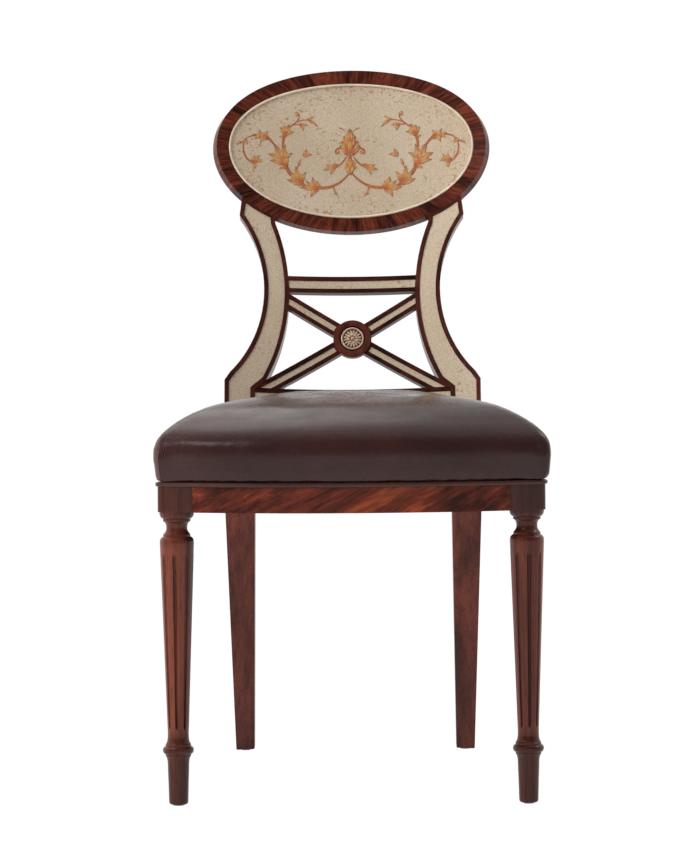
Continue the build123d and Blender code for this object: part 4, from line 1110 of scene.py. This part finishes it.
# %% [markdown]
# ## The painted scrollwork
# A spray of leaves and stems is painted on the glass, to both sides of a small palmette. The right half is
# the left one mirrored, a little wider and with a slight lean. Each leaf is made of blades that fan out from
# its base; each stem is a ribbon along a smooth line. All of them are flat bands, drawn in millimetres from
# the oval's middle, and laid on the glass by the function above. A blade is given by base, tip and width: its
# width is an arch that runs out to a point, and its edge is a little uneven. A stem is given by its half
# width at the start and at the end, and its points.

# %% Blades and stems of the scrollwork
BLADES_LEFT = np.array([
    (-44.2, -55.2, -72.6, -53.8, 6.2), (-45.5, -55.2, -59.4, -66.9, 5.4), (-44.2, -54.5, -57.4, -39.1, 5.9),
    (-45.5, -54.5, -65.6, -45.5, 5.4), (-42.9, -53.8, -48.8, -44.2, 3.5),
    (-66.7, -49.0, -92.4, -42.5, 5.9), (-68.0, -46.9, -90.4, -30.8, 6.2), (-68.7, -45.5, -81.9, -23.5, 6.2),
    (-69.3, -45.5, -66.0, -29.3, 4.9), (-77.2, -42.1, -85.8, -40.7, 3.5),
    (-91.8, -24.9, -110.9, 11.0, 9.5), (-93.1, -24.2, -98.4, 10.0, 8.1), (-95.1, -18.7, -118.4, -1.7, 7.0),
    (-95.7, -20.0, -116.4, -12.0, 6.2), (-93.7, -24.2, -103.9, -25.5, 4.1), (-96.4, -14.5, -84.9, -0.5, 4.9),
    (-93.7, -21.4, -91.8, -6.2, 5.4),
    (-118.2, 18.6, -143.2, 23.8, 6.2), (-120.8, 19.9, -136.6, 29.3, 4.6), (-123.4, 21.3, -122.1, 30.7, 3.8),
    (-123.4, 21.3, -133.7, 12.8, 4.9), (-130.0, 21.3, -141.9, 17.9, 3.5),
    (-147.9, -18.0, -130.7, -14.5, 5.4), (-145.9, -18.0, -132.0, -9.0, 4.1),
    (-144.6, -17.3, -139.9, -8.3, 4.1), (-143.2, -18.0, -139.3, -29.0, 4.1),
    (-139.3, -17.3, -129.0, -16.6, 3.0),
    (-96.4, 22.0, -88.5, 41.3, 6.8), (-95.7, 25.5, -99.9, 37.2, 5.7), (-95.1, 25.5, -82.5, 31.2, 4.9),
    (-97.0, 19.9, -103.4, 23.8, 3.0), (-95.7, 26.8, -94.4, 39.2, 5.4),
    (-74.6, 41.3, -60.1, 40.6, 3.5), (-72.0, 40.6, -66.7, 32.6, 3.5), (-64.0, 48.2, -50.8, 54.4, 2.4),
    (-60.1, 48.2, -45.3, 39.2, 3.0),
    (-66.7, -7.6, -63.4, 4.1, 4.6), (-67.3, -6.9, -55.8, -2.1, 4.3), (-64.0, -7.6, -68.5, -4.9, 2.7),
    (-16.0, -18.5, -39.0, -27.4, 4.8), (-20.0, -20.4, -35.0, -20.8, 3.2), (-21.0, -21.5, -29.6, -33.8, 3.4),
    (-155.8, 15.8, -151.4, 7.5, 3.2), (-155.1, 15.8, -159.1, 8.9, 2.7), (-24.4, -53.1, -21.5, -59.3, 2.2),
    (-20.7, -61.4, -16.8, -66.3, 1.9), (-20.7, -61.4, -23.8, -63.5, 1.6), (-165.7, 8.6, -169.9, 5.5, 1.6),
    (-161.7, 11.0, -168.3, 11.7, 1.4), (-74.3, 54.4, -78.6, 61.3, 3.5), (-75.3, -21.4, -71.7, -10.7, 2.7),
    (-1.0, -1.6, -15.4, 11.0, 6.4), (-1.7, 1.4, -12.4, 17.6, 6.8), (-1.3, 4.2, -8.8, 25.0, 6.2),
    (-0.5, -12.0, -6.4, -18.6, 3.6), (-0.4, -15.0, -7.8, -25.0, 4.6)]) / 1000
BLADES_MIDDLE = np.array([
    (0.0, 3.4, 0.0, 36.2, 11.3), (0.0, 14.4, 0.0, 33.7, 6.8), (0.0, -3.5, 0.0, 23.0, 4.0),
    (0.0, -16.0, 0.0, -35.0, 8.6), (0.0, -4.5, 0.0, -29.0, 4.2)]) / 1000
LEAF_SIZES = (5, 5, 7, 5, 5, 5, 4, 3, 3) + 14 * (1,)
STEMS_LEFT = {
    "main": (1.0, 3.2, (-0.4, -30.4), (-6.6, -38.2), (-17.8, -47.6), (-31.0, -52.8), (-45.5, -54.2),
             (-56.1, -55.2)),
    "rise": (2.6, 3.0, (-64.0, -53.8), (-70.6, -46.9), (-77.2, -40.7)),
    "tall": (2.8, 3.2, (-85.2, -36.6), (-90.4, -28.3), (-95.1, -19.3), (-98.4, -10.4)),
    "outer": (1.4, 2.2, (-108.9, 6.2), (-114.9, 14.4), (-120.8, 19.9), (-126.1, 21.6)),
    "end": (1.2, 0.8, (-139.3, 22.7), (-149.2, 19.7), (-156.4, 14.4), (-163.0, 9.2), (-169.9, 7.8)),
    "curl": (1.0, 2.0, (-154.5, 15.8), (-158.3, 7.5), (-157.8, -3.5), (-153.1, -13.1), (-146.5, -18.0),
             (-139.3, -18.0)),
    "up": (1.6, 2.6, (-98.4, 3.4), (-97.7, 14.4), (-96.4, 21.3), (-93.1, 27.5)),
    "crook": (1.2, 0.8, (-88.5, 36.5), (-82.5, 41.3), (-77.2, 46.1), (-73.9, 52.3), (-74.3, 57.8),
              (-77.2, 60.2), (-79.2, 57.8)),
    "side": (0.9, 0.6, (-81.2, 40.6), (-75.3, 41.3), (-69.3, 40.3)),
    "reach": (0.9, 0.6, (-77.2, 44.5), (-70.6, 47.5), (-62.7, 48.6), (-56.8, 47.5)),
    "spray": (0.8, 1.8, (-4.6, -5.6), (-8.8, -13.0), (-14.9, -19.0), (-21.5, -22.6)),
    "tendril": (0.4, 1.1, (-6.4, 31.4), (-9.4, 34.6), (-12.6, 36.4), (-15.8, 37.0)),
    "volute": (1.7, 1.2, (-6.6, 4.4), (-10.9, 6.0), (-14.9, 6.4), (-18.9, 4.4), (-20.7, 1.4), (-19.2, -1.8),
               (-16.4, -1.2), (-15.8, 1.4), (-17.4, 2.4)),
    "collar": (1.0, 1.4, (-7.4, -1.8), (-5.0, -3.6), (-2.4, -4.2), (0.6, -4.4)),
    "stalk": (0.6, 0.9, (-76.6, -26.2), (-74.9, -19.3), (-72.2, -12.0)),
    "sprig": (0.6, 0.5, (-23.8, -53.4), (-22.8, -57.9), (-20.2, -62.8))}
print(len(BLADES_LEFT), "blades and", len(STEMS_LEFT), "stems on each side")

# %% Bands of paint
BAND_COLUMNS = 7


def blade_bands(blades, sizes):
    """Each blade runs from base to tip; it is broad near the base, runs out to a long point and curls away
    from the first blade of its leaf, with a small wave along its edge."""
    along = np.linspace(0, 1, 17)[None, :, None]
    across = np.linspace(-1, 1, BAND_COLUMNS)[None, None]
    base, tip, width = blades[:, None, None, 0:2], blades[:, None, None, 2:4], blades[:, None, None, 4]
    reach = tip - base
    aside = np.stack([-reach[..., 1], reach[..., 0]], axis=-1) / np.linalg.norm(reach, axis=-1, keepdims=True)
    lead = reach[np.repeat(np.cumsum(sizes) - sizes, sizes)]
    curl = np.sign(lead[..., 0] * reach[..., 1] - lead[..., 1] * reach[..., 0])
    wave = 1 + 0.14 * np.sin(23 * along + 40 * width / 0.004)
    half = 0.74 * width * np.sin(np.pi * along**0.72) ** 0.85 * wave
    bend = width * curl * (0.55 * along**3 - 0.25 * np.sin(np.pi * along))
    flat = base + along[..., None] * reach + (across * half + bend)[..., None] * aside
    return flat, np.broadcast_to(along, flat.shape[:3]), np.broadcast_to(across, flat.shape[:3])


def stem_bands(stems):
    """Each stem is a ribbon along its smooth line, whose half width runs evenly from a first to a last value,
    with both ends rounded."""
    start, end = np.array([stem[:2] for stem in stems]).T[..., None, None] / 1000
    lines = np.stack([smooth_line(np.array(points) / 1000, 33) for _, _, *points in stems])
    way = np.gradient(lines, axis=1)
    aside = np.stack([-way[..., 1], way[..., 0]], axis=-1) / np.linalg.norm(way, axis=-1, keepdims=True)
    along = np.linspace(0, 1, 33)[None, :, None]
    across = np.linspace(-1, 1, BAND_COLUMNS)[None, None]
    half = (start + (end - start) * along) * np.sqrt(1 - (2 * along - 1) ** 14 * 0.96)
    flat = lines[:, :, None] + (across * half)[..., None] * aside[:, :, None]
    size = flat.shape[:3]
    return flat, np.broadcast_to(0.05 + 0.25 * along**2, size), np.broadcast_to(across, size)

# %% One mesh of paint
PAINT_LIFT, PAINT_STEP = 0.00012, 0.000004


def paint_mesh(name, groups):
    """One mesh of all bands: each band lies a hair in front of the one before, and its UV holds along and
    across. A face is turned round where the cross product of its diagonals points to the rear."""
    points, faces, along_across, first, layer = [], [], [], 0, 0
    for flat, along, across in groups:
        size = flat.shape[:3]
        deep = GLASS_DEPTH - PAINT_LIFT - PAINT_STEP * (layer + np.arange(size[0]))[:, None, None]
        points.append(lay_on_back(flat[..., 0], flat[..., 1], np.broadcast_to(deep, size)).reshape(-1, 3))
        index = first + np.arange(np.prod(size)).reshape(size)
        corners = [index[:, :-1, :-1], index[:, :-1, 1:], index[:, 1:, 1:], index[:, 1:, :-1]]
        faces.append(np.stack(corners, axis=-1).reshape(-1, 4))
        along_across.append(np.stack([along, 0.5 + 0.5 * across], axis=-1).reshape(-1, 2))
        first, layer = first + index.size, layer + size[0]
    points, faces, along_across = (np.concatenate(part) for part in (points, faces, along_across))
    corner = points[faces]
    to_rear = np.cross(corner[:, 2] - corner[:, 0], corner[:, 3] - corner[:, 1])[:, 1] > 0
    faces[to_rear] = faces[to_rear][:, [0, 3, 2, 1]]
    mesh = bpy.data.meshes.new(name)
    mesh.from_pydata(points.tolist(), [], faces.tolist())
    mesh.uv_layers.new(name="brush").data.foreach_set("uv", along_across[faces.ravel()].ravel())
    mesh.shade_smooth()
    return mesh


MIRROR = np.array([[-1.02, 0.0], [-0.05, 1.0]])
PAINT_SPOT = np.array([-0.0020, -0.0018])
left_blades, left_stems = blade_bands(BLADES_LEFT, LEAF_SIZES), stem_bands(STEMS_LEFT.values())
middle_blades = blade_bands(BLADES_MIDDLE, 5 * (1,))
groups = [left_stems, (left_stems[0] @ MIRROR, *left_stems[1:]), left_blades,
          (left_blades[0] @ MIRROR, *left_blades[1:]), middle_blades]
scroll_mesh = paint_mesh("painted_scrolls", [(flat + PAINT_SPOT, *brush) for flat, *brush in groups])


# %% Paint
def scroll_paint(name):
    """Ochre that is orange at a blade's base and along its vein, brown at its tip, and outlined at its
    edges."""
    paint = Finish(name)
    brush = paint.add("ShaderNodeUVMap", uv_map="brush").outputs[0]
    along, across = paint.add("ShaderNodeSeparateXYZ", {"Vector": brush}).outputs[:2]
    wear = paint.noise(paint.place, 420.0, detail=3.0, roughness=0.6)
    body = paint.ramp(along, (0.0, srgb(162, 82, 50)), (0.25, srgb(190, 116, 66)), (0.55, srgb(206, 158, 96)),
                      (0.85, srgb(166, 118, 72)), (1.0, srgb(88, 64, 46)))
    off = paint.math("ABSOLUTE", paint.math("SUBTRACT", across, 0.5))
    veined = paint.mix(paint.level(off, 0.03, 0.14, start=0.6, end=0.0), body, srgb(176, 86, 48))
    outlined = paint.mix(paint.level(off, 0.34, 0.48, end=0.7), veined, srgb(140, 78, 42))
    worn = paint.mix(paint.level(wear, 0.56, 0.72, end=0.55), outlined, srgb(216, 186, 142))
    paint.wire(paint.surface, {"Base Color": worn, "Roughness": 0.5, "Coat Weight": 0.3,
                               "Coat Roughness": 0.2})
    return paint


FILM_THICKNESS = 0.00008
scrolls = add_piece(scroll_mesh, scroll_paint("scroll_paint"), "painted_glass")
film = scrolls.modifiers.new("film", "SOLIDIFY")
film.thickness, film.offset = FILM_THICKNESS, -1.0

# %% [markdown]
# ## Studio
# A floor of white paper, a soft dome of light and four square lamps: the brightest stands high on the left,
# so the right half of the dished glass, which faces it, is paler than the left half. To the camera the
# studio behind the chair is white.

# %% Floor, world and lamps
FLOOR_HALF = 12.0
WHITE = (1.0, 1.0, 1.0, 1.0)


def make_floor():
    """One large pale plane; to the camera it is almost white, and it still takes the chair's shadow."""
    mesh = bpy.data.meshes.new("floor")
    corners = [(FLOOR_HALF * x, FLOOR_HALF * y, 0.0) for x, y in ((-1, -1), (1, -1), (1, 1), (-1, 1))]
    mesh.from_pydata(corners, [], [(0, 1, 2, 3)])
    floor = bpy.data.objects.new("floor", mesh)
    scene.collection.objects.link(floor)
    paper = Finish("paper")
    paper.wire(paper.surface, {"Base Color": (0.8, 0.8, 0.8, 1.0), "Roughness": 0.9})
    glow = paper.add("ShaderNodeEmission", {"Color": WHITE, "Strength": 1.06})
    ray = paper.add("ShaderNodeLightPath")
    seen = paper.math("MAXIMUM", ray.outputs["Is Camera Ray"],
                      paper.math("MAXIMUM", ray.outputs["Is Glossy Ray"], ray.outputs["Is Transmission Ray"]))
    both = paper.add("ShaderNodeMixShader", {0: paper.math("MULTIPLY", seen, 0.9),
                                             1: paper.surface.outputs[0], 2: glow.outputs[0]})
    paper.wire(paper.tree.nodes["Material Output"], {"Surface": both.outputs[0]})
    mesh.materials.append(paper.material)


def make_world():
    """White to the camera; as light, a soft dome that is brighter behind the chair than in front of it.
    A Mix node of plain numbers takes them at sockets 2 and 3."""
    world = bpy.data.worlds.new("studio")
    scene.world = world
    world.use_nodes = True
    sky = NodeTree(world.node_tree)
    way = sky.add("ShaderNodeTexCoord").outputs["Generated"]
    depth = sky.add("ShaderNodeSeparateXYZ", {"Vector": way}).outputs["Y"]
    dome = sky.level(depth, -0.6, 0.15, start=0.15, end=1.15)
    seen = sky.add("ShaderNodeLightPath").outputs["Is Camera Ray"]
    strength = sky.add("ShaderNodeMix", {0: seen, 2: dome, 3: 1.0}).outputs[0]
    sky.wire(sky.tree.nodes["Background"], {"Color": WHITE, "Strength": strength})


def make_lamp(name, spot, target, size, power):
    """Square soft lamp that points from its spot to a target."""
    data = bpy.data.lights.new(name, "AREA")
    data.size = size
    data.energy = power
    lamp = bpy.data.objects.new(name, data)
    scene.collection.objects.link(lamp)
    lamp.location = spot
    lamp.rotation_euler = (Vector(target) - Vector(spot)).to_track_quat("-Z", "Y").to_euler()
    return lamp


make_floor()
make_world()
key_lamp = make_lamp("key_lamp", (-4.8, -2.85, 3.75), (0.0, 0.0, 0.55), 3.6, 272.0)
key_lamp.visible_glossy = False
make_lamp("fill_lamp", (2.2, 0.5, 2.6), (0.0, 0.0, 0.5), 0.8, 10.0)
make_lamp("top_lamp", (-0.8, 0.9, 3.0), (0.0, 0.0, 0.5), 1.9, 24.0)
make_lamp("glint_lamp", (-2.0, -2.4, 2.6), (0.0, 0.0, 0.4), 0.3, 8.0)
print("lamps", sorted(lamp.name for lamp in bpy.data.lights))

# %% Colour view
scene.view_settings.view_transform = "Standard"
